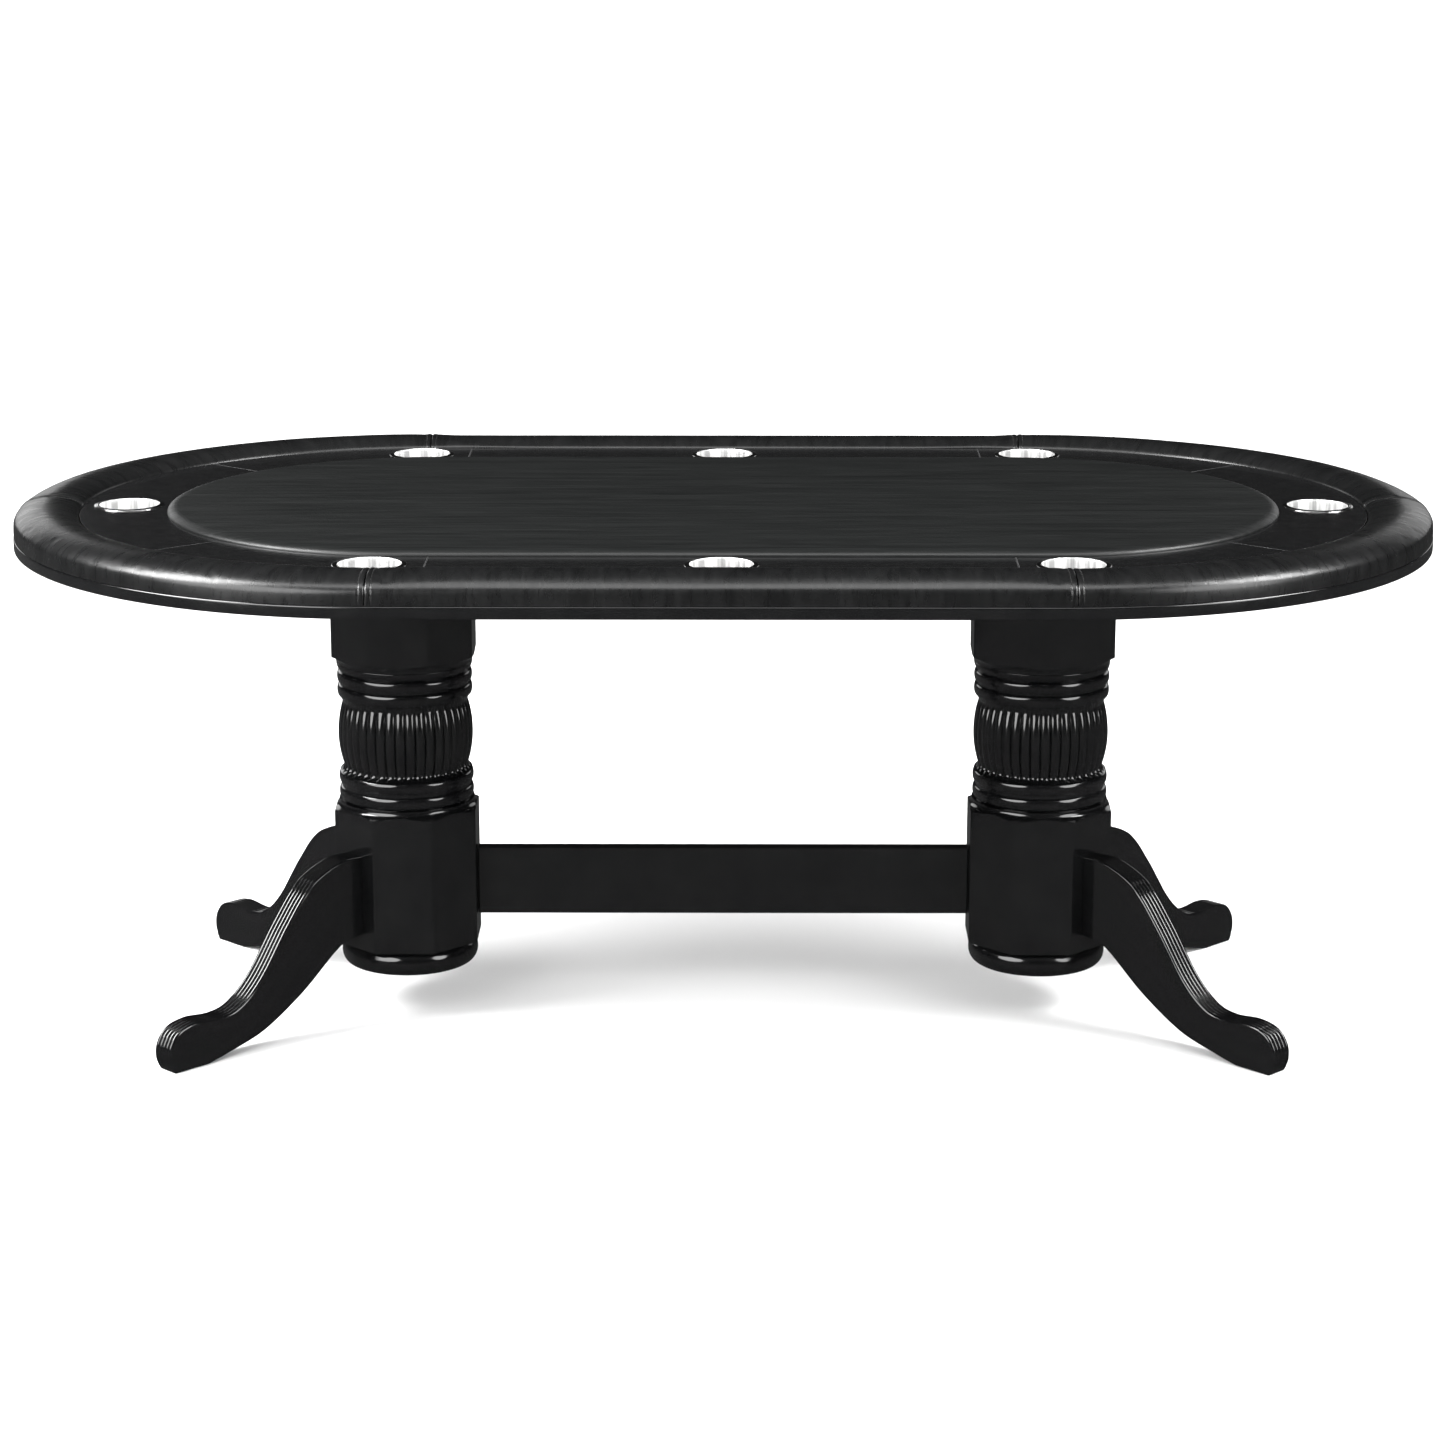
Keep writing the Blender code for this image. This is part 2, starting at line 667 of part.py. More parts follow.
def make_battens(materials):
    length, width, height = BATTEN_SIZE
    for name, y in (("front", -BATTEN_Y), ("back", BATTEN_Y)):
        outline = [(-length / 2, y - width / 2), (length / 2, y - width / 2),
                   (length / 2, y + width / 2), (-length / 2, y + width / 2)]
        top = RIM_BOTTOM_Z - GAP
        batten = add_object(f"batten_{name}", prism(outline, top - height, top), materials["board"])
        round_edges(batten, BAND_EDGE, 1)


def along_leg(x, angle):
    """From leg space, X outwards from the pedestal's axis, to the table."""
    return Matrix.Translation((x, 0, 0)) @ Matrix.Rotation(math.radians(angle), 4, "Z")


def leg_bolt_bore(name, x, angle):
    """A horizontal hole at a leg's root, a little wider and longer than its bolt."""
    start, end = LEG_BOLT_SPAN
    hole = cylinder(LEG_BOLT_R + GAP, start - BOLT_END_CLEAR, end + BOLT_END_CLEAR)
    lay_down(hole)
    cutter = add_cutter(f"{name}_bolt_cutter", hole)
    cutter.matrix_world = along_leg(x, angle)
    return cutter


def lay_down(bm):
    """Turns a piece made along +Z to lie along +X at the leg bolts' height."""
    bm.transform(Matrix.Translation((0, 0, LEG_BOLT_Z)) @ Matrix.Rotation(math.pi / 2, 4, "Y"))


def leg_solid():
    """The leg's outline in the XZ plane, extruded to the board's thickness."""
    outline = smooth_curve(LEG_TOP) + [LEG_TOP[-1]] + smooth_curve(LEG_UNDER) + [LEG_UNDER[-1]]
    outline = [point for i, point in enumerate(outline) if point != outline[i - 1]]
    bm = bmesh.new()
    near = [bm.verts.new((r, -LEG_T / 2, z)) for r, z in outline]
    far = [bm.verts.new((r, LEG_T / 2, z)) for r, z in outline]
    bridge(bm, near, far)
    bm.faces.new(near)
    bm.faces.new(far[::-1])
    return bm


def glide_socket():
    """Recess and bore in a sole that take the levelling glide."""
    recess_top = GLIDE_PAD_H + GLIDE_CLEAR
    bore_r = GLIDE_STEM_R + GLIDE_CLEAR
    bore_top = GLIDE_STEM_TOP + GLIDE_END_CLEAR
    return turned([
        (0, -CUTTER_REACH), (GLIDE_R + GLIDE_CLEAR, -CUTTER_REACH), (GLIDE_R + GLIDE_CLEAR, recess_top),
        (bore_r, recess_top), (bore_r, bore_top), (0, bore_top),
    ], 12)


def glide_solid():
    """A flat pad with an eased edge on a threaded stem."""
    return turned([
        (0, 0), (GLIDE_R - FINE_EDGE, 0), (GLIDE_R, FINE_EDGE), (GLIDE_R, GLIDE_PAD_H),
        (GLIDE_STEM_R, GLIDE_PAD_H), (GLIDE_STEM_R, GLIDE_STEM_TOP), (0, GLIDE_STEM_TOP),
    ], 12)


def make_legs(materials):
    """Four legs on the outward diagonals, each with its bolt and its levelling glide."""
    for name, angle in LEG_ANGLES.items():
        x = -PEDESTAL_X if "left" in name else PEDESTAL_X
        place = along_leg(x, angle)
        leg = add_object(f"leg_{name}", leg_solid(), materials["lacquer"])
        leg.matrix_world = place
        cut(leg, leg_bolt_bore(f"leg_{name}", x, angle))
        foot = place @ Matrix.Translation((GLIDE_RADIAL, 0, 0))
        socket = add_cutter(f"glide_socket_{name}_cutter", glide_socket())
        socket.matrix_world = foot
        cut(leg, socket)
        glide = add_object(f"levelling_glide_{name}", glide_solid(), materials["nylon"])
        glide.matrix_world = foot
        shank = cylinder(LEG_BOLT_R, *LEG_BOLT_SPAN)
        lay_down(shank)
        bolt = add_object(f"leg_bolt_{name}", shank, materials["hardware"])
        bolt.matrix_world = place


def main():
    clear_scene()
    materials = make_materials()
    holes = make_cup_hole_cutter()
    make_base_board(materials, holes)
    make_deck_board(materials, holes)
    make_rim_bands(materials)
    make_rail(materials)
    make_racetrack(materials, holes)
    make_playing_surface(materials)
    make_cup_holders(materials)
    make_pedestals(materials)
    make_stretcher(materials)
    make_battens(materials)
    make_legs(materials)


main()
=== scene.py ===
"""Looks of the poker table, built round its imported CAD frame.

Metres, +Z up, +X along the table. Everything on the top is drawn as a constant offset from a
straight spine along X, as in the CAD.
"""

import math

import bmesh
import bpy
import numpy as np
from mathutils import Euler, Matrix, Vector, noise


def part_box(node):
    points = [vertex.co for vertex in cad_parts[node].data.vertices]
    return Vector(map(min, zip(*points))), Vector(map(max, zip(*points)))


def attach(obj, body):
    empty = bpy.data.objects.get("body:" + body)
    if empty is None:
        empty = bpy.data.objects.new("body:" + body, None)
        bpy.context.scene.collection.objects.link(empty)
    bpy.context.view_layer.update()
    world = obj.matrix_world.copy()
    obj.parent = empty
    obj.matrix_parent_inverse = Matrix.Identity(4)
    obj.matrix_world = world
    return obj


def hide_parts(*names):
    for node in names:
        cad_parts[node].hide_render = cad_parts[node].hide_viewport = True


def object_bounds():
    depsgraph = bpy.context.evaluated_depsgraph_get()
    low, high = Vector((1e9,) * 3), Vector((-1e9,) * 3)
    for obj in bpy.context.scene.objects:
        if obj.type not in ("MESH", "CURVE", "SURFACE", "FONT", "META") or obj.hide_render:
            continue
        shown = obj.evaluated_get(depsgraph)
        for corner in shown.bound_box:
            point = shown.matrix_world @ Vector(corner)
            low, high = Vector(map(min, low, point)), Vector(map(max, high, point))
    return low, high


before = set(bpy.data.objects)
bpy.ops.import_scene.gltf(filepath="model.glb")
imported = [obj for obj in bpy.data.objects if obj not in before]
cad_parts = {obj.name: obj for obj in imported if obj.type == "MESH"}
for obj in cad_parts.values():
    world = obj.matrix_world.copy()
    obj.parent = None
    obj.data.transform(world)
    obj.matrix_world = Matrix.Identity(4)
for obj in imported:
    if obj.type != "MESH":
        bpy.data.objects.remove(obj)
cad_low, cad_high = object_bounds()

SEED = 840
MM = 0.001
GAP = 0.3 * MM

# Rail: crest line and shoulders of its domed section
RAIL_CREST_R = 0.545
RAIL_INNER_SHOULDER = 17.0 * MM
RAIL_OUTER_SHOULDER = 24.0 * MM
RAIL_SKIRT = 9.1 * MM
RAIL_CORE_TOP = 18.3 * MM
RAIL_INSET = 0.7 * MM
RAIL_SWELL_CAP = 1.6 * MM
RAIL_SEAM_TURN = 0.24 * math.radians(90 / 14)  # how far a straight section wraps round each end
SECTION_STEPS = 40
CLOTH_CELL = 8.0 * MM
CLOTH_FRAMES = 16
CLOTH = {
    "quality": 4, "mass": 0.5, "tension_stiffness": 30, "compression_stiffness": 20,
    "shear_stiffness": 12, "bending_stiffness": 2.0, "use_pressure": True,
    "uniform_pressure_force": 4.0, "vertex_group_mass": "held",
}
SEAM_GROOVE = 1.1 * MM
STITCH_ROW = 8.0 * MM
STITCH_PITCH = 4.2 * MM
STITCH_LENGTH = 3.1 * MM
STITCH_R = 0.38 * MM
STITCH_LIFT = 0.35 * MM
SEAM_WIDTH = 1.1 * MM
SEAM_ALLOWANCE = 0.55 * MM
SEAM_SINK = 0.75 * MM  # how far the stitches pull the cover in

# Rim bands
RIM_BAND_T = 12.0 * MM
RIM_EDGE_R = 2.4 * MM

# Playing surface
PLAY_EDGE_R = 8.5 * MM
PLAY_SKIRT = 5.7 * MM
PLAY_BOARD_T = 9.3 * MM
PLAY_CROWN = 0.8 * MM
PLAY_SLACK = 0.35 * MM

# Racetrack
TRACK_SEAM_GAP = 0.6 * MM
TRACK_EDGE_W = 0.7 * MM
CUP_HOLE_R = 47.5 * MM

# Cup holders
CUP_INNER_R = 45.0 * MM
CUP_WALL = 1.2 * MM
CUP_FLANGE_R = 53.0 * MM
CUP_DEPTH = 58.0 * MM
CUP_LIP = 1.8 * MM

# Pedestals
LOBES = 40
LOBE_STEPS = 10
LOBE_DEPTH = 6.0 * MM
BEAD_R = 0.1034
BEAD_ROOT_R = 0.0985
BEADS = ((0.5275, 0.0095), (0.5065, 0.0100), (0.3695, 0.0095), (0.3455, 0.0100))
BARREL_Z = (0.3895, 0.4880)
BARREL_R = 0.1034
BARREL_NECK_R = 0.0957
COLUMN_TOP_R = 0.1040
COLUMN_GROOVE = (0.1005, 0.5385)
COLUMN_FOOT_R = 0.0990
TURNED_END_R = 0.1042
TURNED_END_H = 13.0 * MM
TURNED_SHOULDER_R = 0.1185
BLOCK_CORNER_R = 1.8 * MM
BORE_R = 6.4 * MM
DISC_EDGE_R = 18.0 * MM
NUT_RECESS_R = 16.0 * MM
NUT_RECESS_H = 14.0 * MM

# Legs, as (distance from the pedestal's axis, height) along the board's edge
LEG_T = 38.0 * MM
SOLE_Z = 1.0 * MM
LEG_ROOT_R = 0.1083
LEG_TOP = (
    (LEG_ROOT_R, 0.2600), (0.151, 0.2590), (0.208, 0.2330), (0.255, 0.1800), (0.306, 0.1110),
    (0.346, 0.0770), (0.381, 0.0680), (0.425, 0.0710), (0.458, 0.0640), (0.476, 0.0440),
    (0.479, 0.0200), (0.470, SOLE_Z),
)
LEG_UNDER = (
    (0.408, SOLE_Z), (0.369, 0.0100), (0.302, 0.0290), (0.228, 0.0710), (0.167, 0.1180),
    (0.141, 0.1320), (LEG_ROOT_R, 0.1370),
)
LEG_ANGLES = {"front_left": -135, "back_left": 135, "front_right": -45, "back_right": 45}
REEDS = 5
REED_STEPS = 8
REED_DEPTH = 4.5 * MM
REED_START_R = (0.198, 0.218)
REED_END_Z = (0.006, 0.012)
LEG_EDGE_R = 1.6 * MM
FLAT_FACE_SIDE = 20 * MM  # faces larger than this square are shaded flat

# Camera
CAMERA_PLACE = (0.027, -5.526, 1.843)
CAMERA_PITCH = math.radians(14.147)
CAMERA_YAW = math.radians(0.288)
CAMERA_LENS = 92.36
SENSOR = 36.0

# Studio: dark surroundings by height and by turn from the front, lamps and floor
WORLD_LEVELS = (
    (0.0, 0.06), (0.36, 0.13), (0.46, 0.13), (0.52, 0.03), (0.66, 0.02), (0.85, 0.12), (1.0, 0.20),
)
WORLD_FRONT = (-0.35, -0.94, 0.0)
WORLD_TURN = ((0.0, 0.13), (0.33, 0.31), (0.67, 0.38), (1.0, 0.45))
WORLD_STRENGTH = 3.0
SKY_TURNS = ((0, 0), (48, 20), (48, 140), (48, 260))
SKY_ENERGY = 1.7
SKY_SPREAD = math.radians(80)
SOFT_BOXES = {  # place, target, size and power
    "overhead": ((0, -1.25, 3.4), (0, -0.2, 0.8), (3.6, 1.7), 64),
    "left_high": ((-2.7, -0.8, 2.7), (0, 0, 0.8), (1.7, 2.0), 250),
    "right_high": ((2.7, -0.8, 2.7), (0, 0, 0.8), (1.3, 1.6), 125),
    "left_box": ((-2.6, -2.6, 1.7), (0, 0, 0.6), (3.4, 2.3), 145),
    "right_box": ((2.9, -2.2, 1.7), (0, 0, 0.6), (1.9, 2.3), 80),
    "left_back": ((-2.9, 4.3, 1.6), (0, 0, 0.8), (2.2, 1.6), 16),
    "right_back": ((2.9, 4.3, 1.6), (0, 0, 0.8), (2.2, 1.6), 10),
}
FLOOR_REACH = 90.0


rail_low, rail_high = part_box("rail_pad_front")
OUTER_R = -rail_low.y
INNER_R = -rail_high.y
SPINE = cad_high.x - OUTER_R
CREST_Z = rail_high.z
SKIRT_Z = rail_low.z
WRAP = math.degrees(RAIL_SEAM_TURN)
play_low, play_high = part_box("playing_surface")
PLAY_R = play_high.y
PLAY_SPINE = play_high.x - PLAY_R
band_low, band_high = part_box("rim_band_front")
track_low, track_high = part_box("racetrack_front")
TRACK_SEAM_X = track_high.x + TRACK_SEAM_GAP / 2


# ---------------------------------------------------------------- meshes


def add_mesh(name, verts, faces, material, uv=None, sharp=40):
    """Object from points and faces, shaded smooth with sharp edges above an angle."""
    mesh = bpy.data.meshes.new(name)
    mesh.from_pydata([tuple(v) for v in verts], [], faces)
    mesh.update()
    if uv is not None:
        layer = mesh.uv_layers.new(name="metres")
        loop_verts = np.zeros(len(mesh.loops), int)
        mesh.loops.foreach_get("vertex_index", loop_verts)
        layer.data.foreach_set("uv", np.asarray(uv, float)[loop_verts].ravel())
    mesh.shade_smooth()
    mesh.set_sharp_from_angle(angle=math.radians(sharp))
    mesh.materials.append(material)
    obj = bpy.data.objects.new(name, mesh)
    bpy.context.scene.collection.objects.link(obj)
    return obj


def grid_faces(rows, columns, close_rows=False, close_columns=False):
    """Quads over a grid of points stored row by row."""
    faces = []
    for i in range(rows if close_rows else rows - 1):
        below = ((i + 1) % rows) * columns
        for j in range(columns if close_columns else columns - 1):
            k = (j + 1) % columns
            faces.append((i * columns + j, i * columns + k, below + k, below + j))
    return faces


def add_grid(name, points, material, close_rows=False, close_columns=False, caps=(), uv=None, sharp=40):
    """Object over a (rows, columns, 3) grid; caps closes the first or last row or column."""
    rows, columns = points.shape[:2]
    faces = grid_faces(rows, columns, close_rows, close_columns)
    ends = {
        "first_row": list(range(columns))[::-1],
        "last_row": [(rows - 1) * columns + j for j in range(columns)],
        "first_column": [i * columns for i in range(rows)],
        "last_column": [i * columns + columns - 1 for i in range(rows)][::-1],
    }
    faces += [ends[cap] for cap in caps]
    flat_uv = None if uv is None else uv.reshape(-1, 2)
    return add_mesh(name, points.reshape(-1, 3), faces, material, flat_uv, sharp)


def flatten(obj):
    """Shades an object's large flat faces flat, so that rounded edges don't bend their reflections."""
    for face in obj.data.polygons:
        if face.area > FLAT_FACE_SIDE**2:
            face.use_smooth = False


def stand_for(obj, node, body="table"):
    """obj takes the CAD node's place on its body."""
    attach(obj, body)
    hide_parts(node)
    return obj


def arc_points(centre, radius, start, end, steps):
    """(steps + 1, 2) points from start to end in degrees."""
    angles = np.radians(np.linspace(start, end, steps + 1))
    return np.stack([centre[0] + radius * np.cos(angles), centre[1] + radius * np.sin(angles)], 1)


def ease(x, low, high):
    """Smooth step from 0 at low to 1 at high."""
    t = np.clip((np.asarray(x, float) - low) / (high - low), 0, 1)
    return t * t * (3 - 2 * t)


def along(points):
    """Distance along a line of points, from 0."""
    steps = np.linalg.norm(np.diff(points, axis=0), axis=1)
    return np.concatenate([[0], np.cumsum(steps)])


def between(p0, p1, p2, p3, t):
    """Point of a Catmull-Rom curve between p1 and p2."""
    return 0.5 * (2 * p1 + (p2 - p0) * t + (2 * p0 - 5 * p1 + 4 * p2 - p3) * t**2
                  + (3 * p1 - p0 - 3 * p2 + p3) * t**3)


def catmull(points, steps):
    """Catmull-Rom curve through the points, both ends included."""
    points = np.asarray(points, float)
    padded = np.vstack([points[0], points, points[-1]])
    curve = []
    for p0, p1, p2, p3 in zip(padded, padded[1:], padded[2:], padded[3:]):
        curve += [between(p0, p1, p2, p3, step / steps) for step in range(steps)]
    curve.append(points[-1])
    return np.array(curve)


def turned(centre, radius, angles, z):
    """(rows, angles, 3) grid about a vertical axis; radius and z are columns or whole grids."""
    x = centre[0] + radius * np.cos(angles)
    y = centre[1] + radius * np.sin(angles)
    return np.stack(np.broadcast_arrays(x, y, z), 2)


def lathe(name, profile, steps, centre, material, closed=False, sharp=35):
    """Surface of revolution about a vertical axis; profile points at radius 0 are merged."""
    profile = np.asarray(profile, float)
    angles = np.linspace(0, 2 * np.pi, steps, endpoint=False)
    points = turned(centre, profile[:, :1], angles, profile[:, 1:])
    uv = np.empty((len(profile), steps, 2))
    uv[..., 0] = angles * profile[:, 0].max()
    uv[..., 1] = along(profile)[:, None]
    obj = add_grid(name, points, material, closed, True, uv=uv, sharp=sharp)
    merge_poles(obj)
    return obj


def merge_poles(obj):
    """Merges points that fall together and turns all faces outward."""
    bm = bmesh.new()
    bm.from_mesh(obj.data)
    bmesh.ops.remove_doubles(bm, verts=bm.verts, dist=1e-6)
    bmesh.ops.recalc_face_normals(bm, faces=bm.faces)
    bm.to_mesh(obj.data)
    bm.free()


def rounded(profile, radius, steps=3):
    """Profile with each inner corner replaced by a small arc-like curve."""
    profile = [np.asarray(p, float) for p in profile]
    smooth = [profile[0]]
    for before, corner, after in zip(profile, profile[1:], profile[2:]):
        reach_in = min(radius, np.linalg.norm(before - corner) / 2.01)
        reach_out = min(radius, np.linalg.norm(after - corner) / 2.01)
        start = corner + (before - corner) * reach_in / np.linalg.norm(before - corner)
        end = corner + (after - corner) * reach_out / np.linalg.norm(after - corner)
        for i in range(steps + 1):
            t = i / steps
            smooth.append((1 - t) ** 2 * start + 2 * t * (1 - t) * corner + t * t * end)
    smooth.append(profile[-1])
    return np.array(smooth)


# ---------------------------------------------------------------- materials


class Tree:
    """Short calls for building a node tree."""

    def __init__(self, owner):
        owner.use_nodes = True
        self.tree = owner.node_tree

    def add(self, kind, **values):
        """New node with its inputs or settings, by name."""
        node = self.tree.nodes.new(kind)
        for key, value in values.items():
            if key in node.inputs:
                node.inputs[key].default_value = value
            else:
                setattr(node, key, value)
        return node

    def link(self, start, end):
        self.tree.links.new(start, end)

    def spread(self, value, low, high, start=0.3, end=0.7):
        """Value from start..end mapped to low..high."""
        node = self.add("ShaderNodeMapRange")
        node.inputs["From Min"].default_value = start
        node.inputs["From Max"].default_value = end
        node.inputs["To Min"].default_value = low
        node.inputs["To Max"].default_value = high
        self.link(value, node.inputs["Value"])
        return node.outputs["Result"]


class Nodes(Tree):
    """One material: its shader, and the patterns that drive it."""

    def __init__(self, name, colour, roughness, metallic=0.0, specular=0.5):
        self.material = bpy.data.materials.new(name)
        super().__init__(self.material)
        self.shader = self.tree.nodes["Principled BSDF"]
        self.shader.inputs["Base Color"].default_value = (*colour, 1.0)
        self.shader.inputs["Roughness"].default_value = roughness
        self.shader.inputs["Metallic"].default_value = metallic
        self.shader.inputs["Specular IOR Level"].default_value = specular
        self.normal = None

    def place(self, scale, from_uv=False):
        """Coordinates in metres times a scale for each axis."""
        coords = self.add("ShaderNodeTexCoord")
        mapping = self.add("ShaderNodeMapping")
        mapping.inputs["Scale"].default_value = scale
        self.link(coords.outputs["UV" if from_uv else "Object"], mapping.inputs["Vector"])
        return mapping.outputs["Vector"]

    def noise(self, vector, detail=4.0, rough=0.5, distortion=0.0):
        """Fractal noise, about 0.3 to 0.7."""
        node = self.add("ShaderNodeTexNoise", Scale=1.0, Detail=detail, Roughness=rough)
        node.inputs["Distortion"].default_value = distortion
        self.link(vector, node.inputs["Vector"])
        return node.outputs["Fac"]

    def cells(self, vector, feature="F1"):
        """Distance from the nearest of a scatter of points."""
        node = self.add("ShaderNodeTexVoronoi", feature=feature)
        node.inputs["Scale"].default_value = 1.0
        self.link(vector, node.inputs["Vector"])
        return node.outputs["Distance"]

    def blend(self, value, first, second, start=0.3, end=0.7):
        """Colour between first and second by value."""
        mix = self.add("ShaderNodeMix", data_type="RGBA")
        for socket in mix.inputs:
            if socket.type == "RGBA" and socket.name == "A":
                socket.default_value = (*first, 1.0)
            if socket.type == "RGBA" and socket.name == "B":
                socket.default_value = (*second, 1.0)
        self.link(self.spread(value, 0.0, 1.0, start, end), mix.inputs["Factor"])
        return next(s for s in mix.outputs if s.type == "RGBA")

    def bump(self, height, depth, strength=1.0):
        """Adds a relief of height times depth over the ones added before."""
        node = self.add("ShaderNodeBump", Strength=strength, Distance=depth)
        self.link(height, node.inputs["Height"])
        if self.normal is not None:
            self.link(self.normal, node.inputs["Normal"])
        self.normal = node.outputs["Normal"]

    def done(self, colour=None, roughness=None):
        """Links what varies to the shader and returns the material."""
        if colour is not None:
            self.link(colour, self.shader.inputs["Base Color"])
        if roughness is not None:
            self.link(roughness, self.shader.inputs["Roughness"])
        if self.normal is not None:
            self.link(self.normal, self.shader.inputs["Normal"])
        return self.material


def lacquer(name, grain_axis, from_uv=False):
    """Black gloss lacquer over closed-grain wood; the grain runs along one axis."""
    n = Nodes(name, (0.0026, 0.0027, 0.0029), 0.13)
    scale = [260.0] * 3
    scale[grain_axis] = 9.0
    pores = n.noise(n.place(scale, from_uv), 5.0, 0.55, 0.4)
    n.bump(pores, 0.02 * MM, 0.02)
    waves = n.noise(n.place([9.0] * 3, from_uv), 2.0)
    n.bump(waves, 0.25 * MM, 0.12)
    dust = n.noise(n.place([22.0] * 3, from_uv), 3.0, 0.55)
    tone = n.blend(dust, (0.0018, 0.0019, 0.0021), (0.0034, 0.0035, 0.0036))
    n.shader.inputs["Coat Weight"].default_value = 0.3
    n.shader.inputs["Coat Roughness"].default_value = 0.06
    return n.done(tone, n.spread(dust, 0.11, 0.17))


def vinyl(name, dark, light, rough, streak_scale, grain=0.09, fold=0.38, from_uv=True):
    """Faux leather: pebbled grain, fine creases and a drifting tone and shine."""
    n = Nodes(name, dark, rough[0], specular=0.45)
    pebbles = n.cells(n.place([620.0] * 3), "SMOOTH_F1")
    n.bump(pebbles, grain * MM, 0.45)
    mottle = n.noise(n.place([230.0] * 3), 4.0, 0.6)
    n.bump(mottle, 0.14 * MM, 0.42)
    creases = n.noise(n.place(streak_scale, from_uv), 7.0, 0.62, 0.8)
    n.bump(creases, fold * MM, 0.35)
    drift = n.noise(n.place([x * 0.35 for x in streak_scale], from_uv), 5.0, 0.6, 1.2)
    tone = n.blend(drift, dark, light, 0.32, 0.68)
    return n.done(tone, n.spread(creases, rough[0], rough[1]))


def make_materials():
    mats = {
        "wood_x": lacquer("lacquer_grain_x", 0),
        "wood_z": lacquer("lacquer_grain_z", 2),
        "wood_uv": lacquer("lacquer_grain_along", 0, True),
        "painted": lacquer("painted_board", 0),
        "rail": vinyl("rail_vinyl", (0.0014, 0.0015, 0.0016), (0.0042, 0.0043, 0.0044),
                      (0.24, 0.36), (110.0, 22.0, 1.0)),
        "play": vinyl("play_vinyl", (0.0016, 0.0019, 0.0019), (0.0040, 0.0045, 0.0044),
                      (0.34, 0.50), (7.0, 120.0, 14.0), 0.06, 0.12, False),
    }
    n = Nodes("track_gloss", (0.006, 0.006, 0.0065), 0.16)
    haze = n.noise(n.place([55.0, 210.0, 55.0]), 6.0, 0.6)
    n.bump(n.noise(n.place([14.0] * 3), 2.0), 0.2 * MM, 0.2)
    n.shader.inputs["Coat Weight"].default_value = 0.3
    n.shader.inputs["Coat Roughness"].default_value = 0.08
    tone = n.blend(haze, (0.0028, 0.0028, 0.0030), (0.0052, 0.0053, 0.0054))
    mats["track"] = n.done(tone, n.spread(haze, 0.14, 0.26))

    # Painted highlight: the eased joint edges get a lighter grey that stands in for the light their bevels
    # catch.
    n = Nodes("track_edge_painted_highlight", (0.030, 0.030, 0.031), 0.3)
    painted_highlight_speckle = n.noise(n.place([400.0] * 3), 4.0)
    mats["track_edge_painted_highlight"] = n.done(n.blend(painted_highlight_speckle, (0.045, 0.045, 0.046), (0.075, 0.075, 0.076)))

    n = Nodes("cup_steel_inside", (0.90, 0.90, 0.89), 0.40, 0.80)
    lines = n.noise(n.place([900.0, 6.0, 1.0], True), 3.0, 0.6)
    # Painted reflection: light and dark bands round the wall in the steel's own colour, standing in for
    # the studio mirrored inside the cup.
    painted_reflection_bands = n.noise(n.place([55.0, 2.0, 1.0], True), 3.0, 0.6)
    n.bump(lines, 0.06 * MM, 0.5)
    n.shader.inputs["Anisotropic"].default_value = 0.5
    tone = n.blend(painted_reflection_bands, (0.42, 0.42, 0.42), (0.97, 0.97, 0.96), 0.42, 0.58)
    mats["cup"] = n.done(tone, n.spread(lines, 0.34, 0.52))

    n = Nodes("cup_steel_polished", (0.42, 0.42, 0.42), 0.12, 1.0)
    turned = n.noise(n.place([12.0, 1400.0, 1.0], True), 3.0)
    n.bump(turned, 0.03 * MM, 0.35)
    mats["flange"] = n.done(None, n.spread(turned, 0.09, 0.18))

    n = Nodes("stitch_thread", (0.016, 0.016, 0.016), 0.5)
    twist = n.noise(n.place([2600.0] * 3), 2.0)
    n.bump(twist, 0.08 * MM, 0.6)
    mats["thread"] = n.done(n.blend(twist, (0.006, 0.006, 0.006), (0.016, 0.016, 0.016)))

    n = Nodes("plywood", (0.36, 0.26, 0.17), 0.7)
    grain = n.noise(n.place([6.0, 90.0, 320.0]), 7.0, 0.6, 1.5)
    n.bump(grain, 0.15 * MM, 0.5)
    tone = n.blend(grain, (0.20, 0.125, 0.07), (0.44, 0.31, 0.19))
    mats["board"] = n.done(tone, n.spread(grain, 0.6, 0.85))

    n = Nodes("zinc_plate", (0.5, 0.5, 0.49), 0.38, 1.0)
    spangle = n.cells(n.place([500.0] * 3))
    n.bump(n.noise(n.place([90.0, 90.0, 900.0]), 2.0), 0.1 * MM, 0.6)
    mats["zinc"] = n.done(n.blend(spangle, (0.38, 0.38, 0.37), (0.62, 0.61, 0.58), 0.1, 0.8),
                          n.spread(spangle, 0.28, 0.5, 0.1, 0.8))

    n = Nodes("glide_nylon", (0.02, 0.02, 0.02), 0.5)
    scuff = n.noise(n.place([300.0, 300.0, 60.0]), 6.0, 0.65)
    n.bump(scuff, 0.08 * MM, 0.5)
    mats["nylon"] = n.done(n.blend(scuff, (0.014, 0.014, 0.014), (0.045, 0.045, 0.045)),
                           n.spread(scuff, 0.42, 0.68))
    return mats


# ---------------------------------------------------------------- padded rail


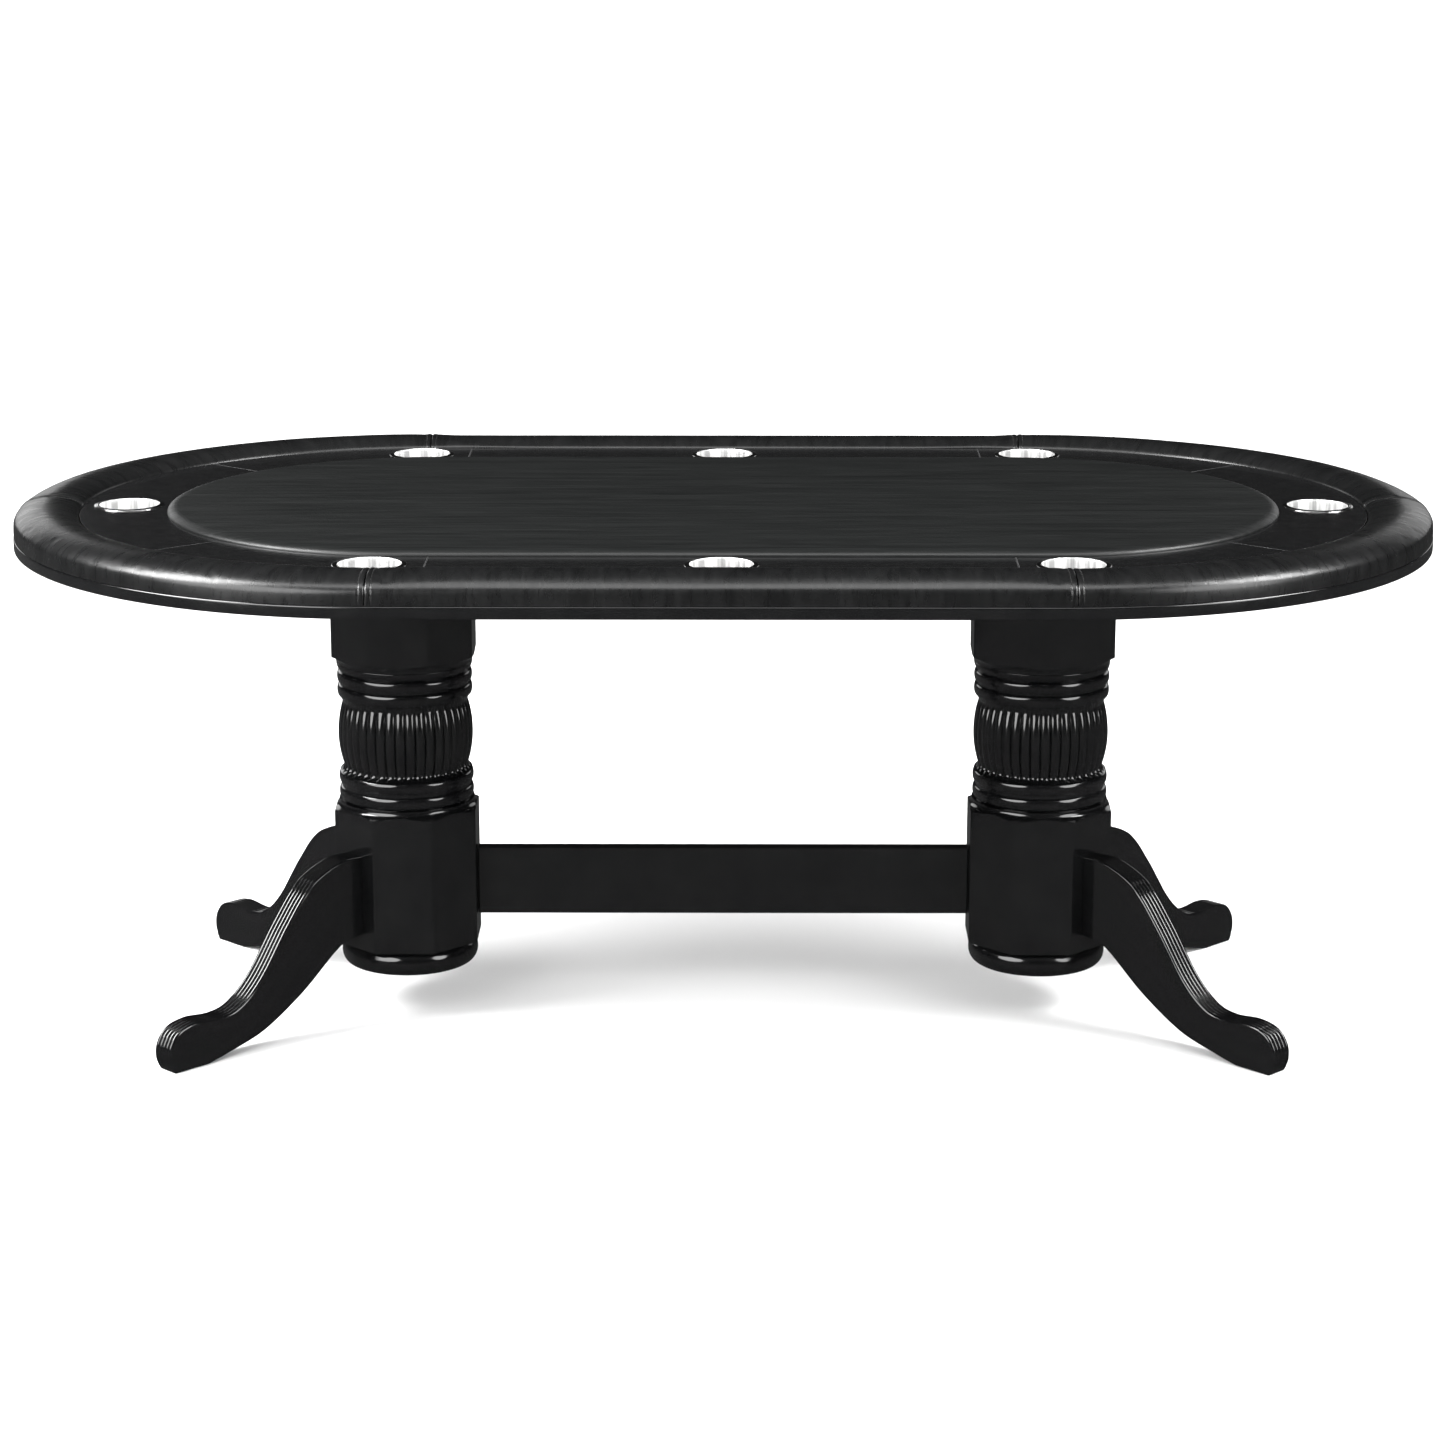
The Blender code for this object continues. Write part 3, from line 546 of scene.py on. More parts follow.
def rail_section(inset):
    """Open line of (offset, height) points over the dome, from the inner foot to the outer."""
    inner = RAIL_CREST_R - INNER_R - inset
    outer = OUTER_R - RAIL_CREST_R - inset
    crest = CREST_Z - inset
    inner_z = CREST_Z - RAIL_INNER_SHOULDER
    outer_z = CREST_Z - RAIL_OUTER_SHOULDER
    line = [(RAIL_CREST_R - inner, SKIRT_Z), (RAIL_CREST_R - inner, (SKIRT_Z + inner_z) / 2)]
    for degrees in np.linspace(180, 90, 15):
        a = math.radians(degrees)
        line.append((RAIL_CREST_R + inner * math.cos(a), inner_z + (crest - inner_z) * math.sin(a)))
    for degrees in np.linspace(90, 0, 17)[1:]:
        a = math.radians(degrees)
        line.append((RAIL_CREST_R + outer * math.cos(a), outer_z + (crest - outer_z) * math.sin(a)))
    line += [(RAIL_CREST_R + outer, (SKIRT_Z + outer_z) / 2), (RAIL_CREST_R + outer, SKIRT_Z)]
    line = np.array(line)
    reach = along(line)
    at = np.linspace(0, reach[-1], SECTION_STEPS + 1)
    return np.stack([np.interp(at, reach, line[:, 0]), np.interp(at, reach, line[:, 1])], 1)


def channel_section():
    """The hollow underneath that fits over the core ring, from the outer foot to the inner."""
    top = SKIRT_Z + RAIL_CORE_TOP
    inner, outer = INNER_R + RAIL_SKIRT, OUTER_R - RAIL_SKIRT
    line = [(outer, SKIRT_Z), (outer, top), (RAIL_CREST_R, top), (inner, top), (inner, SKIRT_Z)]
    return np.array(line)


RAIL_RUNS = {
    "front": ("straight", -1),
    "back": ("straight", 1),
    "front_right": (1, WRAP - 90, 0),
    "back_right": (1, 0, 90 - WRAP),
    "back_left": (-1, 90 + WRAP, 180),
    "front_left": (-1, 180, 270 - WRAP),
}


def run_frames(run, stations):
    """Spine point x and normal for each station, given in metres from the run's start."""
    length = run_length(run)
    if run[0] == "straight":
        facing = run[1]
        wrap = RAIL_SEAM_TURN * RAIL_CREST_R
        flat = stations - wrap - SPINE
        over = np.sign(flat) * np.maximum(0, np.abs(flat) - SPINE)
        turn = over / RAIL_CREST_R
        return np.clip(flat, -SPINE, SPINE), np.sin(turn), facing * np.cos(turn)
    side, start, end = run
    angle = np.radians(start) + math.radians(end - start) * stations / length
    return np.full_like(angle, side * SPINE), np.cos(angle), np.sin(angle)


def run_length(run):
    if run[0] == "straight":
        return 2 * (SPINE + RAIL_SEAM_TURN * RAIL_CREST_R)
    return math.radians(run[2] - run[1]) * RAIL_CREST_R


def sweep(run, stations, sections):
    """(stations, points, 3) grid; sections is one section or one per station."""
    x, nx, ny = run_frames(run, stations)
    sections = np.broadcast_to(sections, (len(stations), *np.shape(sections)[-2:]))
    points = np.empty((len(stations), sections.shape[1], 3))
    points[..., 0] = x[:, None] + nx[:, None] * sections[..., 0]
    points[..., 1] = ny[:, None] * sections[..., 0]
    points[..., 2] = sections[..., 1]
    return points


def inflate(name, points, free):
    """Blows a closed grid up as cloth; free marks the columns that may move."""
    rows, columns = points.shape[:2]
    faces = grid_faces(rows, columns, False, True)
    faces += [list(range(columns))[::-1], [(rows - 1) * columns + j for j in range(columns)]]
    mesh = bpy.data.meshes.new(name)
    mesh.from_pydata([tuple(p) for p in points.reshape(-1, 3)], [], faces)
    obj = bpy.data.objects.new(name, mesh)
    bpy.context.scene.collection.objects.link(obj)
    held = np.ones((rows, columns), bool)
    held[1:-1, free] = False
    group = obj.vertex_groups.new(name="held")
    group.add([int(i) for i in np.flatnonzero(held.ravel())], 1.0, "REPLACE")
    cloth = obj.modifiers.new("cloth", "CLOTH")
    for key, value in CLOTH.items():
        setattr(cloth.settings, key, value)
    cloth.settings.effector_weights.gravity = 0
    cloth.collision_settings.use_collision = False
    cloth.point_cache.frame_start = 1
    cloth.point_cache.frame_end = CLOTH_FRAMES
    scene = bpy.context.scene
    for number in range(1, CLOTH_FRAMES + 1):
        scene.frame_set(number)
    settled = obj.evaluated_get(bpy.context.evaluated_depsgraph_get())
    moved = np.zeros(rows * columns * 3)
    settled.data.vertices.foreach_get("co", moved)
    scene.frame_set(1)
    bpy.data.objects.remove(obj)
    bpy.data.meshes.remove(mesh)
    return moved.reshape(rows, columns, 3)


def cubic_resample(values, at, new_at):
    """Smooth resampling of values along axis 0."""
    step = at[1] - at[0]
    place = np.clip((new_at - at[0]) / step, 0, len(at) - 1)
    base = np.clip(np.floor(place).astype(int), 0, len(at) - 2)
    t = (place - base).reshape((-1,) + (1,) * (values.ndim - 1))
    last = len(at) - 1
    p0, p1 = values[np.clip(base - 1, 0, last)], values[base]
    p2, p3 = values[base + 1], values[np.clip(base + 2, 0, last)]
    return between(p0, p1, p2, p3, t)


def seam_stations(length):
    """Stations along a run, close together near its two seams."""
    near = np.array([0, 0.3, 0.7, 1.2, 1.8, 2.6, 3.6, 4.8, 5.8, 6.6, 7.2, 7.6, 8.0, 8.4, 8.8,
                     9.4, 10.4, 12, 14, 17, 21, 26]) * MM
    middle = np.linspace(32 * MM, length - 32 * MM, round((length - 64 * MM) / (5 * MM)))
    return np.concatenate([near, middle, (length - near)[::-1]])


def seam_profile(distance):
    """Height of the cover near a seam: a groove, a raised allowance and a sunk stitch row."""
    groove = -SEAM_GROOVE * np.exp(-((distance / SEAM_WIDTH) ** 2))
    allowance = SEAM_ALLOWANCE * ease(distance, 1 * MM, 3 * MM) * (1 - ease(distance, 6 * MM, 12 * MM))
    row = -SEAM_SINK * np.exp(-(((distance - STITCH_ROW) / (1.0 * MM)) ** 2))
    return groove + allowance + row


def creases(points, length, stations, seed):
    """Low folds across the rail, stronger near the seams, in metres."""
    heights = np.zeros(points.shape[:2])
    from_seam = np.minimum(stations, length - stations)
    pull = 0.25 + 0.8 * np.exp(-from_seam / (40 * MM))
    for i in range(points.shape[0]):
        for j in range(points.shape[1]):
            spot = Vector((stations[i] * 62.0 + seed * 7.3, j * 0.13, seed))
            soft = Vector((stations[i] * 11.0, j * 0.09, seed + 40.0))
            heights[i, j] = pull[i] * 0.16 * MM * noise.noise(spot) + 0.25 * MM * noise.noise(soft)
    return heights


def add_rail_pad(index, name, run, mats):
    """One upholstered section: inflated cover, seams at both ends, and their stitches."""
    length = run_length(run)
    rows = round(length / CLOTH_CELL) + 1
    coarse = np.linspace(GAP, length - GAP, rows)
    small = rail_section(RAIL_INSET)
    channel = channel_section()
    coarse_line = small[::2]
    start = sweep(run, coarse, np.vstack([coarse_line, channel]))
    shift = np.zeros((rows, len(coarse_line), 3))
    moved = inflate(f"cloth_{name}", start, np.arange(1, len(coarse_line) - 1))
    shift = moved[:, : len(coarse_line)] - start[:, : len(coarse_line)]
    size = np.linalg.norm(shift, axis=2, keepdims=True)
    shift *= RAIL_SWELL_CAP * np.tanh(size / RAIL_SWELL_CAP) / np.maximum(size, 1e-9)
    stations = np.clip(seam_stations(length), GAP, length - GAP)
    fine = cubic_resample(shift, coarse, stations)
    across = np.linspace(0, 1, len(coarse_line))
    fine = cubic_resample(fine.transpose(1, 0, 2), across, np.linspace(0, 1, len(small)))
    fine = fine.transpose(1, 0, 2)
    cover = sweep(run, stations, small) + fine
    slope_across = np.gradient(cover, axis=1)
    slope_along = np.gradient(cover, stations, axis=0)
    normals = np.cross(slope_along, slope_across)
    normals /= np.maximum(np.linalg.norm(normals, axis=2, keepdims=True), 1e-12)
    if normals[len(stations) // 2, len(small) // 2, 2] < 0:
        normals = -normals
    from_seam = np.minimum(stations, length - stations)
    place = np.arange(len(small))
    free_share = ease(place, 0, 4) * (1 - ease(place, len(small) - 4, len(small) - 1))
    height = seam_profile(from_seam)[:, None] * free_share
    height = height + creases(cover, length, stations, index + SEED % 97) * free_share
    cover = cover + normals * height[..., None]
    hollow = sweep(run, stations, channel)
    points = np.concatenate([cover, hollow], axis=1)
    uv = np.empty((*points.shape[:2], 2))
    uv[..., 0] = stations[:, None]
    uv[..., 1] = along(np.vstack([small, channel]))[None]
    pad = add_grid(f"padded_rail_{name}", points, mats["rail"], False, True,
                   ("first_row", "last_row"), uv, 50)
    stand_for(pad, f"rail_pad_{name}")
    stitches = add_stitches(name, cover, normals, stations, length, mats["thread"])
    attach(stitches, "table")


def add_stitches(name, cover, normals, stations, length, material):
    """Short raised threads along the stitch row beside each end of a section."""
    verts, faces = [], []
    sides, rings = 6, 5
    for row_at in (STITCH_ROW, length - STITCH_ROW):
        i = int(np.argmin(np.abs(stations - row_at)))
        line, up = cover[i], normals[i]
        reach = along(line)
        count = int((reach[-1] - 12 * MM) / STITCH_PITCH)
        for k in range(count):
            middle = 8 * MM + (k + 0.5) * STITCH_PITCH
            at = np.linspace(middle - STITCH_LENGTH / 2, middle + STITCH_LENGTH / 2, rings)
            spine = np.stack([np.interp(at, reach, line[:, c]) for c in range(3)], 1)
            lift = np.array([np.interp(middle, reach, up[:, c]) for c in range(3)])
            tangent = spine[-1] - spine[0]
            tangent /= np.linalg.norm(tangent)
            lift /= np.linalg.norm(lift)
            side = np.cross(tangent, lift)
            first = len(verts)
            for r in range(rings):
                bow = math.sin(math.pi * (r + 0.35) / (rings - 0.3))
                radius = STITCH_R * (0.35 + 0.65 * bow)
                centre = spine[r] + lift * (STITCH_LIFT * bow)
                for s in range(sides):
                    a = 2 * math.pi * s / sides
                    verts.append(centre + radius * (math.cos(a) * side + math.sin(a) * lift))
            for r in range(rings - 1):
                for s in range(sides):
                    t = (s + 1) % sides
                    faces.append((first + r * sides + s, first + r * sides + t,
                                  first + (r + 1) * sides + t, first + (r + 1) * sides + s))
            faces.append([first + s for s in range(sides)][::-1])
            faces.append([first + (rings - 1) * sides + s for s in range(sides)])
    return add_mesh(f"rail_stitches_{name}", verts, faces, material, sharp=80)


# ---------------------------------------------------------------- rim, track, playing surface


def add_rim_bands(mats):
    """Edge bands of black wood under the rail, with eased edges."""
    low, high = band_low.z, band_high.z
    outer, inner = OUTER_R, OUTER_R - RIM_BAND_T
    section = rounded([(inner, low), (outer, low), (outer, high), (inner, high)], RIM_EDGE_R, 4)
    runs = {
        "front": ("straight", -1),
        "back": ("straight", 1),
        "right_end": (1, -90, 90),
        "left_end": (-1, 90, 270),
    }
    for name, run in runs.items():
        if run[0] == "straight":
            wrap = RAIL_SEAM_TURN * RAIL_CREST_R + GAP
            stations = np.linspace(wrap, run_length(run) - wrap, 3)
        else:
            stations = np.linspace(0, run_length(run), 97)
        points = sweep(run, stations, section)
        uv = np.empty((*points.shape[:2], 2))
        uv[..., 0] = along(points[:, 1])[:, None]
        uv[..., 1] = along(section)[None]
        band = add_grid(f"edge_band_{name}", points, mats["wood_uv"], False, True,
                        ("first_row", "last_row"), uv, 50)
        stand_for(band, f"rim_band_{name}")


def track_outline(start, end):
    """Outer and inner edges of a panel round the right end, from start to end degrees."""
    steps = round((end - start) / 90 * 40)
    half_gap = math.degrees(TRACK_SEAM_GAP / 2 / PLAY_R)
    outer = arc_points((SPINE, 0), INNER_R - 2 * GAP, start + half_gap, end - half_gap, steps)
    inner = arc_points((PLAY_SPINE, 0), PLAY_R + 2 * GAP, end - half_gap, start + half_gap, steps)
    return outer, inner


def track_panels():
    """Outline of each racetrack panel: one side, one end and one corner, mirrored."""
    outer_y, inner_y = INNER_R - 2 * GAP, PLAY_R + 2 * GAP
    seam, far_seam = TRACK_SEAM_X - TRACK_SEAM_GAP / 2, TRACK_SEAM_X + TRACK_SEAM_GAP / 2
    straight = np.array([(-seam, inner_y), (seam, inner_y), (seam, outer_y), (-seam, outer_y)])
    bend = np.vstack(track_outline(-45, 45))
    outer, inner = track_outline(45, 90)
    corner = np.array([*outer[:-1], (SPINE, outer_y), (far_seam, outer_y), (far_seam, inner_y),
                       (PLAY_SPINE, inner_y), *inner[1:]])
    return {
        "front": straight * (1, -1), "back": straight,
        "right_end": bend, "left_end": bend * (-1, 1),
        "back_right": corner, "back_left": corner * (-1, 1),
        "front_left": corner * (-1, -1), "front_right": corner * (1, -1),
    }


def prism(name, outline, low, high, material):
    """Upright block over an outline."""
    count = len(outline)
    verts = [(x, y, low) for x, y in outline] + [(x, y, high) for x, y in outline]
    faces = [(i, (i + 1) % count, count + (i + 1) % count, count + i) for i in range(count)]
    faces += [list(range(count))[::-1], list(range(count, 2 * count))]
    obj = add_mesh(name, verts, faces, material)
    merge_poles(obj)
    return obj


def apply_modifiers(obj):
    """Bakes the modifiers into the mesh."""
    solid = obj.evaluated_get(bpy.context.evaluated_depsgraph_get())
    mesh = bpy.data.meshes.new_from_object(solid)
    obj.modifiers.clear()
    obj.data = mesh


def add_racetrack(mats, cups):
    """Eight gloss panels with cup holes and eased joint edges, the edges in a lighter grey as a painted
    highlight.
    """
    rings = [arc_points(place, CUP_HOLE_R, 0, 360, 64)[:-1] for place in cups.values()]
    for name, outline in track_panels().items():
        panel = prism(f"track_panel_{name}", outline, track_low.z, track_high.z, mats["track"])
        panel.data.materials.append(mats["track_edge_painted_highlight"])
        low, high = outline.min(0) - CUP_HOLE_R, outline.max(0) + CUP_HOLE_R
        cutters = []
        for ring in rings:
            centre = ring.mean(0)
            if (low < centre).all() and (centre < high).all():
                cutters.append(prism("hole", ring, track_low.z - MM, track_high.z + MM, mats["track"]))
        for cutter in cutters:
            cut = panel.modifiers.new("hole", "BOOLEAN")
            cut.object = cutter
            cut.solver = "EXACT"
            cut.operation = "DIFFERENCE"
        bevel = panel.modifiers.new("eased", "BEVEL")
        bevel.width = TRACK_EDGE_W
        bevel.segments = 2
        # the bevels take the lighter painted-highlight material
        bevel.material = 1
        bevel.limit_method = "ANGLE"
        bevel.angle_limit = math.radians(50)
        apply_modifiers(panel)
        for cutter in cutters:
            bpy.data.objects.remove(cutter)
        panel.data.shade_smooth()
        panel.data.set_sharp_from_angle(angle=math.radians(35))
        flatten(panel)
        stand_for(panel, f"racetrack_{name}")


def stadium_ring(spine, radius, arc_steps, side_steps):
    """Closed outline with the same count of points at any radius, and its outward normals."""
    ends = []
    for side, start in ((1, -90), (-1, 90)):
        angles = np.radians(np.linspace(start, start + 180, arc_steps + 1))
        normal = np.stack([np.cos(angles), np.sin(angles)], 1)
        ends.append((np.array([side * spine, 0]) + radius * normal, normal))
    share = np.linspace(0, 1, side_steps + 1)[1:-1, None]
    first, second = ends
    top = first[0][-1] * (1 - share) + second[0][0] * share
    bottom = second[0][-1] * (1 - share) + first[0][0] * share
    up = np.tile([0.0, 1.0], (side_steps - 1, 1))
    points = np.vstack([first[0], top, second[0], bottom])
    normals = np.vstack([first[1], up, second[1], -up])
    return points, normals


def add_playing_surface(mats):
    """Thin padded top: nearly flat foam under a cover that rolls over its board's edge."""
    top, bottom = play_high.z, play_low.z
    cavity = PLAY_R - PLAY_SKIRT
    inset = [0.0, 0.02, 0.05, 0.1, 0.16, 0.22, 0.27, 0.31, 0.335, 0.35, 0.36, 0.368]
    profile = [(u, top - PLAY_CROWN * (u / PLAY_R) ** 2) for u in inset]
    shoulder = top - PLAY_CROWN * (inset[-1] / PLAY_R) ** 2
    roll_a, roll_b = PLAY_R - inset[-1], PLAY_EDGE_R
    for degrees in np.linspace(90, -8, 15)[1:]:
        a = math.radians(degrees)
        profile.append((inset[-1] + roll_a * math.cos(a), shoulder - roll_b * (1 - math.sin(a))))
    profile += [(PLAY_R - 0.6 * MM, bottom + 4 * MM), (PLAY_R - 0.8 * MM, bottom)]
    profile += [(cavity, bottom), (cavity, bottom + PLAY_BOARD_T), (cavity * 0.5, bottom + PLAY_BOARD_T)]
    profile.append((0.0, bottom + PLAY_BOARD_T))
    rings = []
    for u, z in profile:
        outline, _ = stadium_ring(PLAY_SPINE, u, 72, 80)
        rings.append(np.column_stack([outline, np.full(len(outline), z)]))
    points = np.array(rings)
    on_top = np.array([z > bottom + PLAY_BOARD_T + 2 * MM for _, z in profile])
    for i in np.flatnonzero(on_top):
        for j in range(points.shape[1]):
            x, y, _ = points[i, j]
            soft = noise.noise(Vector((x * 5.0, y * 8.0, 3.0)))
            points[i, j, 2] += PLAY_SLACK * soft
    surface = add_grid("padded_playing_surface", points, mats["play"], False, True, sharp=60)
    merge_poles(surface)
    stand_for(surface, "playing_surface")


# ---------------------------------------------------------------- cup holders


def add_cup(name, centre, seat, mats):
    """Spun steel cup: flat flange with a rolled lip, brushed wall with painted reflection bands, and a
    dished floor.
    """
    outer_r = CUP_INNER_R + CUP_WALL
    bottom = seat - CUP_DEPTH
    floor = bottom + CUP_WALL
    top = seat + CUP_LIP
    outside = rounded([(0, bottom), (outer_r - 4 * MM, bottom), (outer_r, bottom + 5 * MM),
                       (outer_r, seat), (CUP_FLANGE_R, seat)], 1.5 * MM, 4)
    lip = [(CUP_FLANGE_R, seat + 0.3 * MM), (CUP_FLANGE_R - 0.5 * MM, seat + 0.9 * MM),
           (CUP_FLANGE_R - 1.6 * MM, seat + 1.15 * MM), (CUP_FLANGE_R - 3.2 * MM, seat + 1.3 * MM),
           (CUP_INNER_R + 2.2 * MM, top - 0.15 * MM), (CUP_INNER_R + 1.1 * MM, top),
           (CUP_INNER_R + 0.35 * MM, top - 0.35 * MM)]
    inside = rounded([
        (CUP_INNER_R, top - 1.1 * MM), (CUP_INNER_R - 0.3 * MM, seat - 4 * MM),
        (CUP_INNER_R - 0.7 * MM, floor + 6 * MM), (CUP_INNER_R - 6 * MM, floor + 0.6 * MM),
        (CUP_INNER_R - 12 * MM, floor + 0.2 * MM), (CUP_INNER_R - 14 * MM, floor + 1.0 * MM),
        (0.0, floor + 1.2 * MM),
    ], 2.5 * MM, 4)
    profile = np.vstack([outside, lip, inside])
    cup = lathe(f"steel_cup_{name}", profile, 96, centre, mats["cup"], sharp=60)
    cup.data.materials.append(mats["flange"])
    for face in cup.data.polygons:
        from_axis = math.hypot(face.center.x - centre[0], face.center.y - centre[1])
        if face.center.z > seat - 0.5 * MM and from_axis > CUP_INNER_R + 0.6 * MM:
            face.material_index = 1
    stand_for(cup, f"cup_holder_{name}", f"cup_{name}")


# ---------------------------------------------------------------- pedestals


def bore(centre, angles, first_z, last_z):
    """Wall of the hole for the tie rod, as two rings."""
    return turned(centre, BORE_R, angles, np.array([[first_z], [last_z]]))


def column_profile():
    """Lines of (radius, lobe depth, height) from the column's top to its foot."""
    low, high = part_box("turned_column_left")[0].z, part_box("turned_column_left")[1].z
    rows = [(COLUMN_TOP_R - 0.8 * MM, 0, high), (COLUMN_TOP_R, 0, high - 0.8 * MM)]
    for z in np.linspace(high - 1.6 * MM, COLUMN_GROOVE[1] + 0.6 * MM, 8):
        t = (high - z) / (high - COLUMN_GROOVE[1])
        rows.append((COLUMN_TOP_R - (COLUMN_TOP_R - COLUMN_GROOVE[0]) * t**2.2, 0, z))
    rows += bead_rows(*BEADS[0]) + bead_rows(*BEADS[1])
    neck_top = BEADS[1][0] - BEADS[1][1] - 0.5 * MM
    for t in np.linspace(0.15, 1, 7):
        z = neck_top + (BARREL_Z[1] - neck_top) * t
        rows.append((BEAD_ROOT_R + (BARREL_NECK_R - BEAD_ROOT_R) * float(ease(t, 0, 1)), 0, z))
    for z in np.linspace(BARREL_Z[1] - MM, BARREL_Z[0], 46):
        from_middle = (2 * z - BARREL_Z[0] - BARREL_Z[1]) / (BARREL_Z[1] - BARREL_Z[0])
        radius = BARREL_R - (BARREL_R - BARREL_NECK_R) * from_middle**2
        into = min(BARREL_Z[1] - z, 11 * MM) / (11 * MM)
        rows.append((radius, LOBE_DEPTH * math.sqrt(1 - (1 - into) ** 2), z))
    cove_foot = BEADS[2][0] + BEADS[2][1] + 0.4 * MM
    for t in np.linspace(0.08, 1, 12):
        z = BARREL_Z[0] + (cove_foot - BARREL_Z[0]) * t
        flare = t**2.4
        rows.append((BARREL_NECK_R + (BEAD_R - BARREL_NECK_R) * 0.75 * flare,
                     LOBE_DEPTH * (1 - float(ease(t, 0.55, 1.0))), z))
    rows += bead_rows(*BEADS[2]) + bead_rows(*BEADS[3])
    rows += [(COLUMN_FOOT_R, 0, low + 0.6 * MM), (COLUMN_FOOT_R, 0, low)]
    return rows


def bead_rows(centre, half):
    """Half-round bead between two quirks."""
    rows = []
    for degrees in np.linspace(84, -84, 17):
        a = math.radians(degrees)
        radius = BEAD_ROOT_R + (BEAD_R - BEAD_ROOT_R) * math.cos(a) ** 0.75
        rows.append((radius, 0, centre + half * 0.98 * math.sin(a)))
    return rows


def add_column(side, x, mats):
    """Turned column whose barrel carries rounded lobes between narrow grooves."""
    share = np.linspace(-1, 1, LOBE_STEPS + 1)[:-1]
    sway = np.sin(share * np.pi / 2)
    lobe = 2 * np.pi / LOBES
    angles = (np.arange(LOBES)[:, None] * lobe + sway[None] * lobe / 2).ravel()
    sink = np.tile(1 - np.sqrt(np.maximum(0, 1 - 0.93 * sway**2)), LOBES)
    rows = np.array(column_profile())
    radius = rows[:, :1] - rows[:, 1:2] * sink[None]
    outside = turned((x, 0), radius, angles, rows[:, 2:])
    points = np.concatenate([outside, bore((x, 0), angles, rows[-1, 2], rows[0, 2])])
    column = add_grid(f"column_{side}", points, mats["wood_z"], True, True, sharp=70)
    merge_poles(column)
    stand_for(column, f"turned_column_{side}")


def octagon_radius(flat_half, corner_r, angles):
    """Distance from the axis to an octagon with rounded corners."""
    turn = np.mod(angles + np.pi / 8, np.pi / 4) - np.pi / 8
    radius = flat_half / np.cos(turn)
    corner = np.pi / 8 - np.abs(turn)
    tangent = np.arctan((flat_half - corner_r) * math.tan(np.pi / 8) / flat_half)
    centre = (flat_half - corner_r) / math.cos(np.pi / 8)
    arc = centre * np.cos(corner) + np.sqrt(np.maximum(0, corner_r**2 - (centre * np.sin(corner)) ** 2))
    return np.where(np.abs(turn) > tangent, arc, radius)


def block_angles():
    """Angles round an octagon, closer together at its rounded corners."""
    inside = np.linspace(-19.5, 19.5, 14)
    corner = np.linspace(19.9, 25.1, 9)
    eighth = np.concatenate([inside, corner])
    return np.radians(np.concatenate([eighth + 45 * k for k in range(8)]))


def soft_min(a, b, width):
    """Smaller of the two, blended where they are within width of each other."""
    h = np.clip(0.5 + 0.5 * (b - a) / width, 0, 1)
    return b + (a - b) * h - width * h * (1 - h)


def add_block(name, node, x, turned_up, mats):
    """Octagonal block with one end turned down to the round column."""
    low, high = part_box(node)[0].z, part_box(node)[1].z
    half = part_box(node)[1].x - x
    angles = block_angles()
    flat = octagon_radius(half, BLOCK_CORNER_R, angles)
    near = np.linspace(0, TURNED_END_H * 1.6, 44)
    depth = np.concatenate([near, np.linspace(near[-1] + 6 * MM, high - low - 1.5 * MM, 8)])
    depth = np.concatenate([depth, [high - low - 0.4 * MM, high - low]])
    rows = []
    for d in depth:
        t = min(1.0, d / TURNED_END_H)
        reach = TURNED_END_R + (TURNED_SHOULDER_R - TURNED_END_R) * (1 - math.sqrt(1 - t**2))
        if d >= TURNED_END_H:
            reach = TURNED_SHOULDER_R + (d - TURNED_END_H)
        radius = soft_min(flat, np.full_like(flat, reach), 0.5 * MM)
        from_far = (high - low) - d
        radius = radius - 0.5 * MM * (1 - float(ease(from_far, 0, 0.8 * MM)))
        rows.append((radius, high - d if turned_up else low + d))
    if not turned_up:
        rows = rows[::-1]
    radii = np.array([radius for radius, _ in rows])
    heights = np.array([[z] for _, z in rows])
    outside = turned((x, 0), radii, angles, heights)
    points = np.concatenate([outside, bore((x, 0), angles, low, high)])
    block = add_grid(name, points, mats["wood_z"], True, True, sharp=50)
    merge_poles(block)
    stand_for(block, node)


def add_disc(side, x, mats):
    """Round foot with a full, rounded edge under a flat top."""
    node = f"base_disc_{side}"
    low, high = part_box(node)[0].z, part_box(node)[1].z
    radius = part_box(node)[1].x - x
    profile = [(BORE_R, high), (radius - 3.2 * MM, high), (radius - 1.6 * MM, high - 0.4 * MM)]
    for degrees in np.linspace(62, -90, 26):
        a = math.radians(degrees)
        profile.append((radius - DISC_EDGE_R * (1 - math.cos(a) ** 0.8),
                        low + (high - low) / 2 * (1 + math.sin(a))))
    profile += [(NUT_RECESS_R, low), (NUT_RECESS_R, low + NUT_RECESS_H), (BORE_R, low + NUT_RECESS_H)]
    disc = lathe(f"foot_disc_{side}", profile, 128, (x, 0), mats["wood_z"], True, 50)
    stand_for(disc, node)


# ---------------------------------------------------------------- legs


def leg_line():
    """The leg's outline: points, inward normals and how deep the reeds are at each point."""
    top = catmull(LEG_TOP, 9)
    under = catmull(LEG_UNDER, 7)
    line = np.vstack([top, under])
    tangent = np.vstack([np.gradient(top, axis=0), np.gradient(under, axis=0)])
    tangent /= np.linalg.norm(tangent, axis=1, keepdims=True)
    inward = np.stack([tangent[:, 1], -tangent[:, 0]], 1)
    inward[0] = (0, -1)
    inward[-1] = (0, 1)
    inward[len(top) - 1] = (-1, 0)
    inward[len(top)] = (0, 1)
    fade = ease(top[:, 0], *REED_START_R) * ease(top[:, 1], *REED_END_Z)
    return line, inward, np.concatenate([fade, np.zeros(len(under))])


